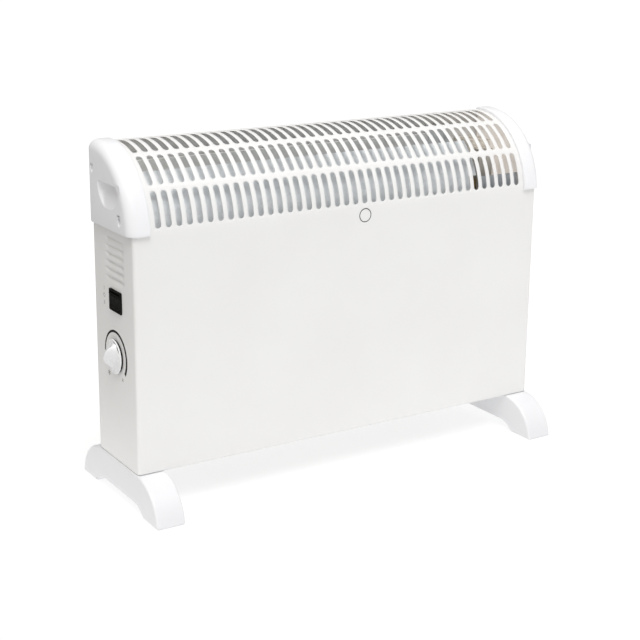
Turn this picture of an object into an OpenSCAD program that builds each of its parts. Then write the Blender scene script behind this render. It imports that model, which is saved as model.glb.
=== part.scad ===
// Free-standing fan convector heater, in millimetres, +Z up, front towards -Y.
// Origin: on the floor, at the centre of the heater's bounding box.
// Most modules are drawn in body coordinates (x = 0 mid-width, z = 0 at the
// casing's lower edge) and placed by in_body().

/* [Casing] */
// Width over the folded side walls
casing_w = 526; // [500:1:560]
// Depth of the casing
casing_d = 98; // [96:0.5:100]
// Height where the front starts to curve backwards
shoulder_z = 252; // [240:1:270]
// Outer radius of the curved top
top_r = 88; // [86:0.5:89]
// Thickness of the casing sheet
sheet_t = 0.8; // [0.6:0.1:1]
// Radius of the folded vertical corners
corner_r = 3.5; // [2:0.5:5]

/* [Outlet grille] */
// Slots in each row
slot_count = 40; // [30:1:40]
// Distance between slot centres
slot_pitch = 12; // [11:0.1:12]
// Width of a slot
slot_w = 6.6; // [4:0.1:8]
// Length of a slot
slot_len = 38.6; // [30:0.1:39]
// Angle up the curve to the lowest row
first_row_angle = 19.2; // [18:0.1:20]
// Angle between rows
row_step_angle = 29.5; // [29:0.1:30]

/* [End caps] */
// Half-width over the end caps
cap_x = 268.5; // [268:0.5:272]
// How far the caps stand proud of the curved top
cap_proud = 3.5; // [3:0.5:5]
// Width of the band that a cap wraps over the casing
cap_band = 24.5; // [22:0.5:26]
// Height of the caps' lower edge
cap_z = 255.7; // [253:0.1:257]
// Rounding of the caps' outer edges
cap_edge_r = 11; // [6:0.5:12]
// Radius of the half-moon hand recess
grip_r = 25; // [20:0.5:26]
// Height of the recess's straight upper edge
grip_z = 302; // [300:1:304]
// Depth of the hand recess
grip_depth = 16; // [12:1:18]

/* [Feet] */
// Height of the casing above the floor
foot_h = 44.5; // [40:0.5:50]
// Length of a foot, front to back
foot_len = 192; // [180:1:210]
// Width of a foot
foot_w = 32.5; // [28:0.5:36]
// Radius of the curve from the casing down to a toe
toe_r = 48.5; // [46:0.5:50]
// Clearance under the arch of a foot
arch_h = 10; // [8:0.5:14]
// Half-length of the flat part of the arch
arch_flat = 38; // [30:1:40]
// Half-length of the arch at the floor
arch_half = 60; // [55:1:64]

/* [Controls] */
// Height of the thermostat spindle above the casing's lower edge
dial_z = 118; // [112:1:124]
// Radius of the thermostat knob
knob_r = 18.8; // [16:0.1:21]
// How far the knob stands out from the side wall
knob_reach = 15; // [14:0.5:18]
// Angle of the knob's pointer at its lower stop, from straight down towards the back
knob_rest_angle = 32; // [0:1:60]
// Height of the rocker switch's centre
switch_z = 179.2; // [176:0.1:184]
// Depth position of the rocker switch's centre
switch_y = -4.2; // [-8:0.1:0]
// Switch bezel, front to back
bezel_w = 29; // [29:0.5:32]
// Switch bezel, height
bezel_h = 23.5; // [22:0.5:24]
// Number of pressed cooling louvres
louvre_count = 6; // [4:1:6]
// Distance between louvres
louvre_pitch = 8.4; // [8:0.1:9]
// Height of the lowest louvre's upper edge
louvre_z = 202.6; // [200:0.1:204]
// Length of a louvre
louvre_len = 38; // [30:1:40]
// Depth position of the louvres' middle
louvre_y = -3.5; // [-6:0.5:0]
// How deep a louvre is pressed into the side wall
louvre_depth = 1.8; // [1:0.1:3]

/* [Fan] */
// Height of the fan's axis above the casing's lower edge
fan_z = 262; // [258:1:264]
// Depth position of the fan's axis
fan_y = 5; // [3:1:8]
// Tip radius of the impeller
fan_r = 30; // [26:1:31]
// Number of blades
blade_count = 7; // [5:1:9]

/* [Heating element] */
// Height of the lower pair of coils
coil_z = 104; // [95:1:110]
// Height between the pairs of coils
coil_rise = 26; // [20:1:30]
// Half-distance between the two runs of a coil
coil_y = 13; // [11:1:15]
// Outer radius of a coil
coil_r = 4; // [3:0.5:4.5]

/* [Wall hanging] */
// Distance between the two keyholes
keyhole_spacing = 300; // [250:10:360]
// Radius of a keyhole's round entry
keyhole_r = 4.5; // [4:0.25:5]
// Width of a keyhole's slot
keyhole_slot_w = 4.5; // [4:0.25:5]
// Height of the keyhole entries above the casing's lower edge
keyhole_z = 285; // [270:1:295]

/* [Hidden] */

$fn = 48;
eps = 0.5;
gap = 0.3;

half_w = casing_w / 2;
half_d = casing_d / 2;
// Centre of the curved top, seen from the side
arc_y = top_r - half_d;
arc_z = shoulder_z;
top_z = arc_z + top_r;
side_x = half_w - sheet_t;
// Rear edge of the folded top, just inside the back panel
fold_y = half_d - sheet_t - 0.2;
// The knob stands out on one side only, so the body sits off the box's centre
body_shift = (half_w + knob_reach - cap_x) / 2;

white_paint = "#eeedeb";
white_plastic = "#f5f6fa";
black_plastic = "#1a1a1a";
zinc = "#b4bac0";
dark_steel = "#7d8286";
mica = "#c3a679";
brass = "#c9a24a";
ceramic = "#e9e3d4";

module in_body() translate([body_shift, 0, foot_h]) children();

// A cylinder along X between x0 and x1, centred at y, z
module rod_x(x0, x1, y, z, r)
    translate([x0, y, z]) rotate([0, 90, 0]) cylinder(h = x1 - x0, r = r);

// A cylinder along Y between y0 and y1, centred at x, z
module rod_y(x, y0, y1, z, r)
    translate([x, y0, z]) rotate([-90, 0, 0]) cylinder(h = y1 - y0, r = r);

// A box given by its two corners
module block(a, b) translate(a) cube(b - a);

// A flat slot with round ends, long side along Y
module stadium(w, len) {
    square([w, len - w], center = true);
    for (s = [-1, 1]) translate([0, s * (len - w) / 2]) circle(d = w);
}

module slot_row(count, pitch, w, len)
    for (k = [0 : count - 1])
        translate([pitch * (k - (count - 1) / 2), 0]) stadium(w, len);

module mirrored_pair() {
    children();
    mirror([1, 0, 0]) children();
}

// ---------------------------------------------------------------- casing

// The casing's plan form, with its two front corners rounded
module plan_block(inset, z0, z1) {
    r = corner_r - inset;
    x = half_w - inset;
    y = half_d - inset;
    block([-x + r, -y, z0], [x - r, 0, z1]);
    block([-x, -y + r, z0], [x, half_d, z1]);
    for (s = [-1, 1])
        translate([s * (x - r), -y + r, z0]) cylinder(h = z1 - z0, r = r);
}

module folded_walls() {
    difference() {
        plan_block(0, 0, shoulder_z);
        plan_block(sheet_t, -1, shoulder_z + 1);
        block([-half_w - 1, half_d - 2, -1], [half_w + 1, half_d + 1, shoulder_z + 1]);
    }
    mirrored_pair()
        block([side_x, -half_d + corner_r + 1, shoulder_z - eps], [half_w, half_d - 2, shoulder_z + 10]);
}

module curved_top() {
    x = half_w - 3;
    intersection() {
        difference() {
            rod_x(-x, x, arc_y, arc_z, top_r);
            rod_x(-x - 1, x + 1, arc_y, arc_z, top_r - sheet_t);
        }
        block([-x - 1, -half_d - 1, arc_z - eps / 5], [x + 1, fold_y, top_z + 1]);
    }
    block([-x, fold_y - sheet_t, top_z - 18], [x, fold_y, top_z - 0.9]);
}

module grille_slots()
    for (row = [0 : 2])
        translate([0, arc_y, arc_z])
            rotate([90 - first_row_angle - row * row_step_angle, 0, 0])
                translate([0, 0, top_r - 8]) linear_extrude(14)
                    slot_row(slot_count, slot_pitch, slot_w, slot_len);

// Louvres are pressed into the left wall: each is a ramp that runs in and up
// from the wall to a slit under the wall's cut edge
louvre_rise = 4.6;

module louvre_ramp(z) {
    y1 = louvre_y + louvre_len / 2;
    inner = -half_w + louvre_depth;
    translate([0, y1, 0]) rotate([90, 0, 0]) linear_extrude(louvre_len)
        polygon([
            [-half_w, z - louvre_rise], [inner, z - 0.5], [inner + sheet_t, z - 0.5],
            [-half_w + sheet_t, z - louvre_rise - 0.4], [-half_w, z - louvre_rise - 0.4]
        ]);
    for (y = [y1, y1 - louvre_len + 1])
        translate([0, y, 0]) rotate([90, 0, 0]) linear_extrude(1)
            polygon([
                [-half_w, z - louvre_rise], [-half_w, z + 0.5], [inner + sheet_t, z + 0.5],
                [inner + sheet_t, z - 0.5]
            ]);
}

module louvre_slits()
    for (k = [0 : louvre_count - 1])
        block([-half_w - 1, louvre_y - louvre_len / 2 + 0.5, louvre_z + k * louvre_pitch - louvre_rise],
              [-side_x + 1, louvre_y + louvre_len / 2 - 0.5, louvre_z + k * louvre_pitch]);

module front_panel() color(white_paint) in_body() {
    difference() {
        union() {
            folded_walls();
            curved_top();
        }
        grille_slots();
        louvre_slits();
        for (x = top_screw_x) rod_y(x, fold_y - 3, half_d, top_screw_z, 1.6);
        block([-half_w - 1, switch_y - 14, switch_z - 10], [-side_x + 1, switch_y + 14, switch_z + 10]);
        rod_x(-half_w - 1, -side_x + 1, 0, dial_z, 4.2);
        for (s = [-1, 1]) rod_x(-half_w - 1, -side_x + 1, s * 11, dial_z, 1.8);
    }
    for (k = [0 : louvre_count - 1]) louvre_ramp(louvre_z + k * louvre_pitch);
}

module keyhole(x) {
    rod_y(x, half_d - 3, half_d + 1, keyhole_z, keyhole_r);
    block([x - keyhole_slot_w / 2, half_d - 3, keyhole_z],
          [x + keyhole_slot_w / 2, half_d + 1, keyhole_z + 9]);
    rod_y(x, half_d - 3, half_d + 1, keyhole_z + 9, keyhole_slot_w / 2);
}

inlet_x = 205;
gland_x = -225;
gland_z = 24;
back_screw_x = 255;
back_screw_z = [18, 120, 222];
top_screw_x = [-230, 0, 230];
top_screw_z = top_z - 11;

module back_panel() color(white_paint) in_body() {
    flange_x = side_x - 0.2;
    difference() {
        union() {
            block([-half_w + 0.3, half_d - sheet_t, 1], [half_w - 0.3, half_d, shoulder_z + 10]);
            block([-flange_x, half_d - sheet_t, 1], [flange_x, half_d, top_z - 4]);
            mirrored_pair()
                block([flange_x - sheet_t, half_d - 12, 3], [flange_x, half_d - eps / 5, shoulder_z + 8]);
        }
        for (s = [-1, 1]) keyhole(s * keyhole_spacing / 2);
        rod_y(gland_x, half_d - 3, half_d + 1, gland_z, 7);
        // Low air holes, and the fan's own inlet slots on the right
        for (z = [44, 76])
            translate([0, half_d + 1, z]) rotate([90, 0, 0]) linear_extrude(3)
                slot_row(30, 12, 5, 24);
        for (k = [-3 : 3])
            translate([inlet_x, half_d + 1, fan_z + 8 * k]) rotate([90, 0, 0]) linear_extrude(3)
                rotate(90) stadium(4.2, 2 * sqrt(pow(fan_r + 2, 2) - pow(8 * k, 2)));
        for (x = [-back_screw_x, back_screw_x]) for (z = back_screw_z)
            rod_y(x, half_d - 3, half_d + 1, z, 1.6);
        for (x = top_screw_x) rod_y(x, half_d - 3, half_d + 1, top_screw_z, 1.6);
    }
}

module base_grid() color(white_paint) in_body() {
    x = side_x - 1.4;
    y = half_d - 1.4;
    difference() {
        union() {
            block([-x, -y, 0], [x, y, sheet_t]);
            block([-x + 4, -y, 0.1], [x - 4, -y + sheet_t, 12]);
        }
        for (s = [-1, 1]) translate([0, s * 20, -1]) linear_extrude(4)
            slot_row(34, 12, 6, 34);
        for (sx = [-1, 1]) for (sy = [-1, 1])
            translate([sx * foot_mid_x, sy * foot_screw_y, -1]) cylinder(h = 4, r = 1.7);
    }
}

// ---------------------------------------------------------------- end caps

cap_r = top_r + cap_proud;
cap_wall = 2.7;
cap_inner_r = 3.5;
cap_in_x = cap_x - cap_band;
cap_back_y = half_d + 2;
cap_screw_at = [[36.5, 316.5], [-29, 270.5]];
cap_screw_seat = 14;
bracket_x = cap_in_x + 2.5;

// A cap's form for the right-hand side: part of a round-edged disc over the
// curve, and a round-edged block behind the disc's centre line
module cap_form(r, x0, x1, edge, back) {
    intersection() {
        translate([x0, arc_y, arc_z]) rotate([0, 90, 0]) rotate_extrude($fn = 96) {
            square([r - edge, x1 - x0]);
            square([r, x1 - x0 - edge]);
            intersection() {
                translate([r - edge, x1 - x0 - edge]) circle(r = edge);
                translate([r - edge, x1 - x0 - edge]) square(edge);
            }
        }
        block([x0 - 1, arc_y - r - 1, cap_z], [x1 + 1, arc_y, arc_z + r + 1]);
    }
    y0 = arc_y;
    z1 = arc_z + r;
    block([x0, y0, cap_z], [x1, back - edge, z1 - edge]);
    block([x0, y0, cap_z], [x1 - edge, back, z1 - edge]);
    block([x0, y0, cap_z], [x1 - edge, back - edge, z1]);
    translate([x1 - edge, back - edge, cap_z]) cylinder(h = z1 - edge - cap_z, r = edge);
    rod_y(x1 - edge, y0, back - edge, z1 - edge, edge);
    rod_x(x0, x1 - edge, back - edge, z1 - edge, edge);
    translate([x1 - edge, back - edge, z1 - edge]) sphere(r = edge);
}

// The scooped hand recess: a half-disc in outline, deepest under its straight
// upper edge; grow thickens it into the wall around it
module grip_form(grow) {
    deep = cap_x - grip_depth - grow;
    foot = grip_z - grip_r - grow;
    intersection() {
        rod_x(deep - 1, cap_x + 2, -3, grip_z, grip_r + grow);
        translate([0, 40, 0]) rotate([90, 0, 0]) linear_extrude(90)
            polygon([
                [cap_x + 1, foot - 1.2], [deep, grip_z - 5 - grow / 2],
                [deep, grip_z + grow], [cap_x + 1, grip_z + grow]
            ]);
    }
}

module cap_body() {
    difference() {
        union() {
            difference() {
                cap_form(cap_r, cap_in_x, cap_x, cap_edge_r, cap_back_y);
                cap_form(top_r + gap, cap_in_x - 1, cap_x - cap_wall, cap_inner_r, half_d + gap);
                block([cap_in_x - 1, -half_d, cap_z - 1], [cap_x - cap_wall, half_d + gap, cap_z + 1]);
            }
            intersection() {
                grip_form(1.5);
                cap_form(cap_r, cap_in_x, cap_x, cap_edge_r, cap_back_y);
            }
            for (p = cap_screw_at) rod_x(bracket_x + 0.8, cap_x - 1, p[0], p[1], 5);
        }
        grip_form(0);
        for (p = cap_screw_at) {
            rod_x(cap_x - cap_screw_seat, cap_x + 1, p[0], p[1], 3.6);
            rod_x(bracket_x - 1, cap_x + 1, p[0], p[1], 1.9);
        }
    }
}

module right_end_cap() color(white_plastic) in_body() cap_body();

module left_end_cap() color(white_plastic) in_body() mirror([1, 0, 0]) cap_body();

// Galvanised brackets inside the ends, which the caps are screwed to
module cap_bracket() {
    difference() {
        union() {
            intersection() {
                rod_x(bracket_x, bracket_x + 0.7, arc_y, arc_z, top_r - sheet_t - gap);
                block([bracket_x - 1, -half_d + 2, shoulder_z - 20], [bracket_x + 2, half_d - 3, top_z]);
            }
            block([bracket_x, -half_d + 4, shoulder_z - 20], [bracket_x + 0.7, half_d - 3, shoulder_z + 4]);
            block([bracket_x, -20, shoulder_z - 20],
                  [half_w - louvre_depth - sheet_t - gap, 20, shoulder_z - 19.3]);
        }
        for (p = cap_screw_at) rod_x(bracket_x - 2, bracket_x + 3, p[0], p[1], 1.3);
    }
}

module left_cap_bracket() color(zinc) in_body() mirror([1, 0, 0]) cap_bracket();

module right_cap_bracket() color(zinc) in_body() cap_bracket();

// ---------------------------------------------------------------- feet

foot_x = half_w + 1.5;
foot_mid_x = foot_x - foot_w / 2;
foot_wall = 2.6;
foot_top = -1.2;
foot_screw_y = 26;
toe_y = foot_len / 2 - toe_r;
arch_r = (pow(arch_half - arch_flat, 2) + arch_h * arch_h) / (2 * arch_h);

// Side outline of a foot, drawn with y to the right and z upwards
module foot_outline(inset) {
    intersection() {
        union() {
            translate([-toe_y, -foot_h - 10]) square([2 * toe_y, foot_h + 10 + foot_top - inset]);
            for (s = [-1, 1]) translate([s * toe_y, foot_top - toe_r]) circle(r = toe_r - inset, $fn = 96);
        }
        translate([-foot_len, -foot_h]) square([2 * foot_len, foot_h]);
    }
}

module arch_outline() {
    top = -foot_h + arch_h;
    translate([-arch_flat, -foot_h - 1]) square([2 * arch_flat, arch_h + 1]);
    for (s = [-1, 1]) translate([s * arch_flat, top - arch_r]) circle(r = arch_r, $fn = 96);
}

module across_foot(x0, x1) translate([x0, 0, 0]) rotate([90, 0, 90]) linear_extrude(x1 - x0) children();

// A right-hand foot: a moulding that is hollow from below, with two screw posts
module foot_body() {
    inner = foot_x - foot_w;
    difference() {
        union() {
            difference() {
                across_foot(inner, foot_x) foot_outline(0);
                across_foot(inner + foot_wall, foot_x - foot_wall)
                    translate([0, -0.5]) foot_outline(foot_wall);
            }
            for (s = [-1, 1]) {
                translate([foot_mid_x, s * foot_screw_y, -foot_h + arch_h - 0.5])
                    cylinder(h = foot_h - arch_h - 1.5, r = 6);
                for (y = [12, 48])
                    block(
                        [inner + 1, s * y - 1, -foot_h + arch_h - 2],
                        [foot_x - 1, s * y + 1, foot_top - 1]
                    );
            }
            block([inner + 5, -38, foot_top - 1], [side_x - 4, 38, 0]);
        }
        across_foot(inner - 1, foot_x + 1) arch_outline();
        for (s = [-1, 1]) translate([foot_mid_x, s * foot_screw_y, 0]) {
            translate([0, 0, -foot_h]) cylinder(h = foot_h - 6, r = 4.4);
            translate([0, 0, -10]) cylinder(h = 12, r = 2.2);
        }
    }
}

module right_foot() color(white_plastic) in_body() foot_body();

module left_foot() color(white_plastic) in_body() mirror([1, 0, 0]) foot_body();

// ---------------------------------------------------------------- inner sheets

shield_t = 0.6;
shield_r = 77;
shield_top_angle = 53;
low_shield_angle = 17;
shield_left = -bracket_x + 1;
shield_right = 184;
low_shield_left = 187;
duct_left = -205;
bulkhead_x = 168;

// A strip of sheet curved about the casing's top centre, up to the given angle
module curved_strip(x0, x1, angle) intersection() {
    difference() {
        rod_x(x0, x1, arc_y, arc_z, shield_r);
        rod_x(x0 - 1, x1 + 1, arc_y, arc_z, shield_r - shield_t);
    }
    translate([x0 - 1, arc_y, arc_z]) rotate([90, 0, 90]) linear_extrude(x1 - x0 + 2)
        polygon([[0, 0], [-2 * shield_r, 0], [-2 * shield_r, 2 * shield_r * tan(angle)]]);
}

module front_shield() color(zinc) in_body() {
    y = arc_y - shield_r;
    lip_z = shoulder_z - 22;
    block([duct_left + 2, y, 16], [bulkhead_x - gap, y + shield_t, lip_z + eps]);
    block([shield_left, y, lip_z], [shield_right, y + shield_t, shoulder_z]);
    difference() {
        curved_strip(shield_left, shield_right, shield_top_angle);
        block([shield_right - 11, y - 1, shoulder_z + 3], [shield_right + 1, y + 8, shoulder_z + 24]);
    }
}

// The front shield is cut lower beside the fan motor
module low_front_shield() color(zinc) in_body() {
    y = arc_y - shield_r;
    x1 = bracket_x - 1;
    block([low_shield_left, y, shoulder_z - 40], [x1, y + shield_t, shoulder_z]);
    block([low_shield_left, y, shoulder_z - 40], [x1, y + 6, shoulder_z - 39.4]);
    curved_strip(low_shield_left, x1, low_shield_angle);
}

module rear_shield() color(zinc) in_body() {
    y = 40;
    top = 316;
    block([duct_left + 2, y, 16], [bulkhead_x - gap, y + shield_t, top]);
    block([shield_left, y, shoulder_z - 22], [duct_left + 3, y + shield_t, top]);
    block([shield_left, y, top - shield_t], [bulkhead_x - gap, y + 6, top]);
}

module compartment_wall() color(zinc) in_body() {
    roof_z = shoulder_z - 25;
    difference() {
        union() {
            block([duct_left, -46, 2], [duct_left + 0.8, 46, roof_z]);
            block(
                [-half_w + louvre_depth + sheet_t + gap, -46, roof_z - 0.8],
                [duct_left + 0.8, 46, roof_z]
            );
            block([duct_left - 10, -46, 2], [duct_left + 0.4, 46, 2.8]);
        }
        rod_x(duct_left - 2, duct_left + 3, -30, 150, 5);
        for (z = [coil_z, coil_z + coil_rise]) for (s = [-1, 1])
            rod_x(duct_left - 2, duct_left + 3, s * coil_y, z, 3.4);
    }
}

// Screw positions of the fan guard, from the fan's axis
guard_lugs = [[-30, -27], [30, -27], [30, 27]];
guard_lug_r = 1.9;

module at_fan() translate([0, fan_y, fan_z]) children();

module fan_bulkhead() color(zinc) in_body() {
    difference() {
        union() {
            block([bulkhead_x, -37, 2], [bulkhead_x + 0.8, 46, shoulder_z]);
            intersection() {
                rod_x(bulkhead_x, bulkhead_x + 0.8, arc_y, arc_z, shield_r - shield_t - 0.4);
                block([bulkhead_x - 1, -45, shoulder_z - 1], [bulkhead_x + 2, 46, top_z - 14]);
            }
            block([bulkhead_x, -37, 2], [bulkhead_x + 10, 46, 2.8]);
        }
        at_fan() {
            rod_x(bulkhead_x - 1, bulkhead_x + 2, 0, 0, fan_r + 2);
            for (p = guard_lugs) rod_x(bulkhead_x - 1, bulkhead_x + 2, p[0], p[1], 1.6);
        }
    }
}

// ---------------------------------------------------------------- heating element

board_x = [-190, -105, -20, 65, 150];

module element_rails() color(zinc) in_body()
    for (s = [-1, 1]) {
        x0 = duct_left + 1;
        x1 = bulkhead_x - gap;
        block([x0, s * 31 - 0.4, coil_z - 12], [x1, s * 31 + 0.4, coil_z - 2]);
        block([x0, min(s * 31, s * 27), coil_z - 12], [x1, max(s * 31, s * 27), coil_z - 11.2]);
    }

module mica_boards() color(mica) in_body()
    for (x = board_x) difference() {
        block([x - 0.5, -26, coil_z - 10.9], [x + 0.5, 26, coil_z + coil_rise + 11]);
        for (s = [-1, 1]) for (z = [coil_z, coil_z + coil_rise])
            rod_x(x - 1, x + 1, s * coil_y, z, coil_r + 0.25);
    }

module coil_pair(z)
    for (s = [-1, 1]) rod_x(board_x[0] - 8, board_x[4] + 8, s * coil_y, z, coil_r);

module lower_heating_coil() color(dark_steel) in_body() coil_pair(coil_z);

module upper_heating_coil() color(dark_steel) in_body() coil_pair(coil_z + coil_rise);

// Ceramic bushes through the compartment wall, where the coils are connected
module coil_terminals() color(ceramic) in_body()
    for (s = [-1, 1]) for (z = [coil_z, coil_z + coil_rise]) difference() {
        union() {
            rod_x(duct_left - 5, duct_left + 5, s * coil_y, z, 3.2);
            rod_x(duct_left + 1, duct_left + 5, s * coil_y, z, 5);
            rod_x(duct_left - 5, duct_left - 0.3, s * coil_y, z, 5);
        }
        rod_x(duct_left - 6, duct_left + 6, s * coil_y, z, 1.5);
    }

cutout_x = -120;
cutout_z = 176;

module thermal_cutout() color(ceramic) in_body() {
    rod_y(cutout_x, 30, 38, cutout_z, 8);
    rod_y(cutout_x, 38, 39.9, cutout_z, 9);
    for (s = [-1, 1])
        block([cutout_x + s * 5 - 3, 18, cutout_z - 0.4], [cutout_x + s * 5 - 1 + 2, 30.5, cutout_z + 0.4]);
}

// ---------------------------------------------------------------- fan

stator_x0 = 196;
stator_x1 = 216;
rotor_r = 12.5;
shaft_r = 2;
bridge_t = 3;
motor_bolt_y = 19;
bracket_plate_x = bulkhead_x + 16;
bracket_leg = 40;

// A plastic ring round the impeller, with three screw lugs
module fan_guard() color(black_plastic) in_body() at_fan() {
    x0 = bulkhead_x + 0.9;
    difference() {
        rod_x(x0, x0 + 14, 0, 0, fan_r + 5.5);
        rod_x(x0 - 1, x0 + 15, 0, 0, fan_r + 2);
    }
    for (p = guard_lugs) difference() {
        hull() {
            rod_x(x0, x0 + 2, p[0], p[1], 4.5);
            rod_x(x0, x0 + 2, p[0] * 0.8, p[1] * 0.8, 4.5);
        }
        rod_x(x0 - 1, x0 + 3, p[0], p[1], guard_lug_r);
        rod_x(x0 - 1, x0 + 3, 0, 0, fan_r + 2.5);
    }
}

// A bridge from the bulkhead over the impeller, which carries the motor
module motor_bracket() color(zinc) in_body() at_fan() {
    x0 = bracket_plate_x;
    difference() {
        union() {
            block([x0, -24, -12], [x0 + 1, 24, 12]);
            block([x0, -9, -bracket_leg], [x0 + 1, 9, bracket_leg]);
            for (s = [-1, 1])
                block([bulkhead_x + 1, -9, s * bracket_leg - 0.5], [x0 + 1, 9, s * bracket_leg + 0.5]);
        }
        rod_x(x0 - 1, x0 + 2, 0, 0, 9);
        for (s = [-1, 1]) rod_x(x0 - 1, x0 + 2, s * motor_bolt_y, 0, 1.7);
    }
}

// Laminated C-frame: the rotor turns in its lower part, the coil sits on its upper leg
module motor_stator() color(dark_steel) in_body() at_fan() difference() {
    union() {
        block([stator_x0, -28, -20], [stator_x1, 28, 20]);
        block([stator_x0, -28, 19], [stator_x1, -16, 42]);
        block([stator_x0, 16, 19], [stator_x1, 28, 42]);
        block([stator_x0, -28, 32], [stator_x1, 28, 42]);
    }
    rod_x(stator_x0 - 1, stator_x1 + 1, 0, 0, rotor_r + 0.5);
    for (s = [-1, 1]) rod_x(stator_x0 - 1, stator_x1 + 1, s * motor_bolt_y, 0, 1.7);
}

module motor_coil() color("#c9ac86") in_body() at_fan() difference() {
    block([stator_x0 - 6, -15, 23], [stator_x1 + 6, 15, 51]);
    block([stator_x0 - 0.2, -16, 31.8], [stator_x1 + 0.2, 16, 42.2]);
}

module bearing_bridge(x, out) {
    x1 = x + out * bridge_t;
    boss_x = x + out * 7;
    difference() {
        union() {
            block([min(x, x1), -24, -6], [max(x, x1), 24, 6]);
            rod_x(min(x, boss_x), max(x, boss_x), 0, 0, 7);
        }
        rod_x(x - 10, x + 10, 0, 0, shaft_r + 0.05);
        for (s = [-1, 1]) rod_x(x - 10, x + 10, s * motor_bolt_y, 0, 1.7);
    }
}

module motor_bearings() color(brass) in_body() at_fan() {
    bearing_bridge(stator_x0 - 0.5, -1);
    bearing_bridge(stator_x1 + 0.5, 1);
}

module motor_rotor() color(dark_steel) in_body() at_fan() {
    rod_x(bulkhead_x + 3, stator_x1 + 10, 0, 0, shaft_r);
    rod_x(stator_x0, stator_x1, 0, 0, rotor_r);
}

module fan_impeller() color(black_plastic) in_body() at_fan() {
    x0 = bulkhead_x + 2;
    hub_r = 9;
    hub_len = 11;
    difference() {
        union() {
            rod_x(x0, x0 + hub_len, 0, 0, hub_r);
            for (k = [0 : blade_count - 1])
                translate([x0 + hub_len / 2, 0, 0]) rotate([k * 360 / blade_count, 0, 0])
                    intersection() {
                        rotate([0, 0, 35]) block([-8, -0.7, 6], [8, 0.7, fan_r]);
                        rod_x(-5, 5, 0, 0, fan_r);
                    }
        }
        rod_x(x0 - 1, x0 + hub_len + 1, 0, 0, shaft_r + 0.02);
    }
}

// ---------------------------------------------------------------- thermostat

spindle_r = 3;
// Half-width of the grip fin where it meets the knob's disc
fin_foot = 11;
// Height of the fin's rounding above the knob's centre
fin_rise = 1.5;
// How far the spindle reaches into the knob
knob_bore_end = 9;

module thermostat_body() color(ceramic) in_body() {
    difference() {
        union() {
            block([-side_x + 0.1, -15, dial_z - 14], [-side_x + 1.3, 15, dial_z + 14]);
            block([-side_x + 1.2, -12, dial_z - 14], [-side_x + 24, 12, dial_z + 14]);
        }
        rod_x(-side_x - 1, -side_x + 16, 0, dial_z, spindle_r + 0.08);
        for (s = [-1, 1]) rod_x(-side_x - 1, -side_x + 9, s * 11, dial_z, 1.2);
    }
    for (s = [-1, 1])
        block([-side_x + 23, s * 7 - 0.4, dial_z - 3], [-side_x + 32, s * 7 + 0.4, dial_z + 3]);
}

module thermostat_spindle() color(brass) in_body()
    rod_x(-half_w - knob_bore_end, -side_x + 14, 0, dial_z, spindle_r);

// Round skirt with a half-round grip fin standing across it
module thermostat_knob() color(white_plastic) in_body()
    translate([-half_w, 0, dial_z]) difference() {
        union() {
            rod_x(-3.4, -0.6, 0, 0, knob_r);
            rod_x(-4, -2.8, 0, 0, knob_r - 1.2);
            rotate([knob_rest_angle, 0, 0]) intersection() {
                rod_y(0, -fin_foot, fin_foot, fin_rise, knob_reach);
                translate([0, 0, -knob_reach]) linear_extrude(2 * knob_reach)
                    polygon([
                        [-knob_reach - 1, -1.1], [-knob_reach - 1, 1.1], [-11, 2.6], [-7.5, 4.4],
                        [-5, 7.2], [-3, fin_foot], [-3, -fin_foot], [-5, -7.2], [-7.5, -4.4], [-11, -2.6]
                    ]);
            }
            rod_x(-10.5, -2, 0, 0, 5);
        }
        rod_x(-1.6, 0, 0, 0, knob_r - 1.8);
        rod_x(-knob_bore_end - 0.2, 0, 0, 0, spindle_r + 0.04);
    }

// ---------------------------------------------------------------- rocker switch

bezel_t = 2;
rocker_r = 9.2;
rocker_w = bezel_w - 5;
pivot_x = -half_w + 2.5;
pivot_pin_r = 1.2;

module switch_housing() color(black_plastic) in_body()
    translate([0, switch_y, switch_z]) difference() {
        union() {
            block([-half_w - bezel_t, -bezel_w / 2, -bezel_h / 2], [-half_w, bezel_w / 2, bezel_h / 2]);
            block([-half_w - 0.5, -13.8, -9.8], [-half_w + 26, 13.8, 9.8]);
        }
        block([-half_w - bezel_t - 1, -rocker_w / 2 - 0.3, -8.4], [-half_w + 1, rocker_w / 2 + 0.3, 8.4]);
        rod_y(pivot_x, -rocker_w / 2 - 0.3, rocker_w / 2 + 0.3, 0, rocker_r + 0.25);
    }

// The rocker swings on stub pins about an axis that runs front to back
module switch_rocker() color(black_plastic) in_body()
    translate([pivot_x, switch_y, switch_z]) intersection() {
        rod_y(0, -rocker_w / 2, rocker_w / 2, 0, 8.9);
        translate([0, rocker_w / 2 + 1, 0]) rotate([90, 0, 0]) linear_extrude(rocker_w + 2)
            polygon([
                [3, -4], [3, 4], [-2, 8], [-6.8, 7.3], [-5.4, 3], [-5, 0],
                [-5.4, -3], [-6.8, -7.3], [-2, -8]
            ]);
    }

module switch_terminals() color(brass) in_body()
    for (sy = [-1, 1]) for (z = [-6, 0, 6])
        block([-half_w + 26.1, switch_y + sy * 7 - 3.1, switch_z + z - 0.4],
              [-half_w + 35, switch_y + sy * 7 + 3.1, switch_z + z + 0.4]);

// ---------------------------------------------------------------- mains inlet and wiring

module cord_gland() color(black_plastic) in_body() difference() {
    union() {
        rod_y(gland_x, half_d - 9, half_d + 2, gland_z, 6.9);
        rod_y(gland_x, half_d + 0.05, half_d + 2, gland_z, 9);
        rod_y(gland_x, half_d - 9, half_d - sheet_t - 0.1, gland_z, 8.5);
    }
    rod_y(gland_x, half_d - 10, half_d + 3, gland_z, 3.6);
}

block_x = -240;

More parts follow.
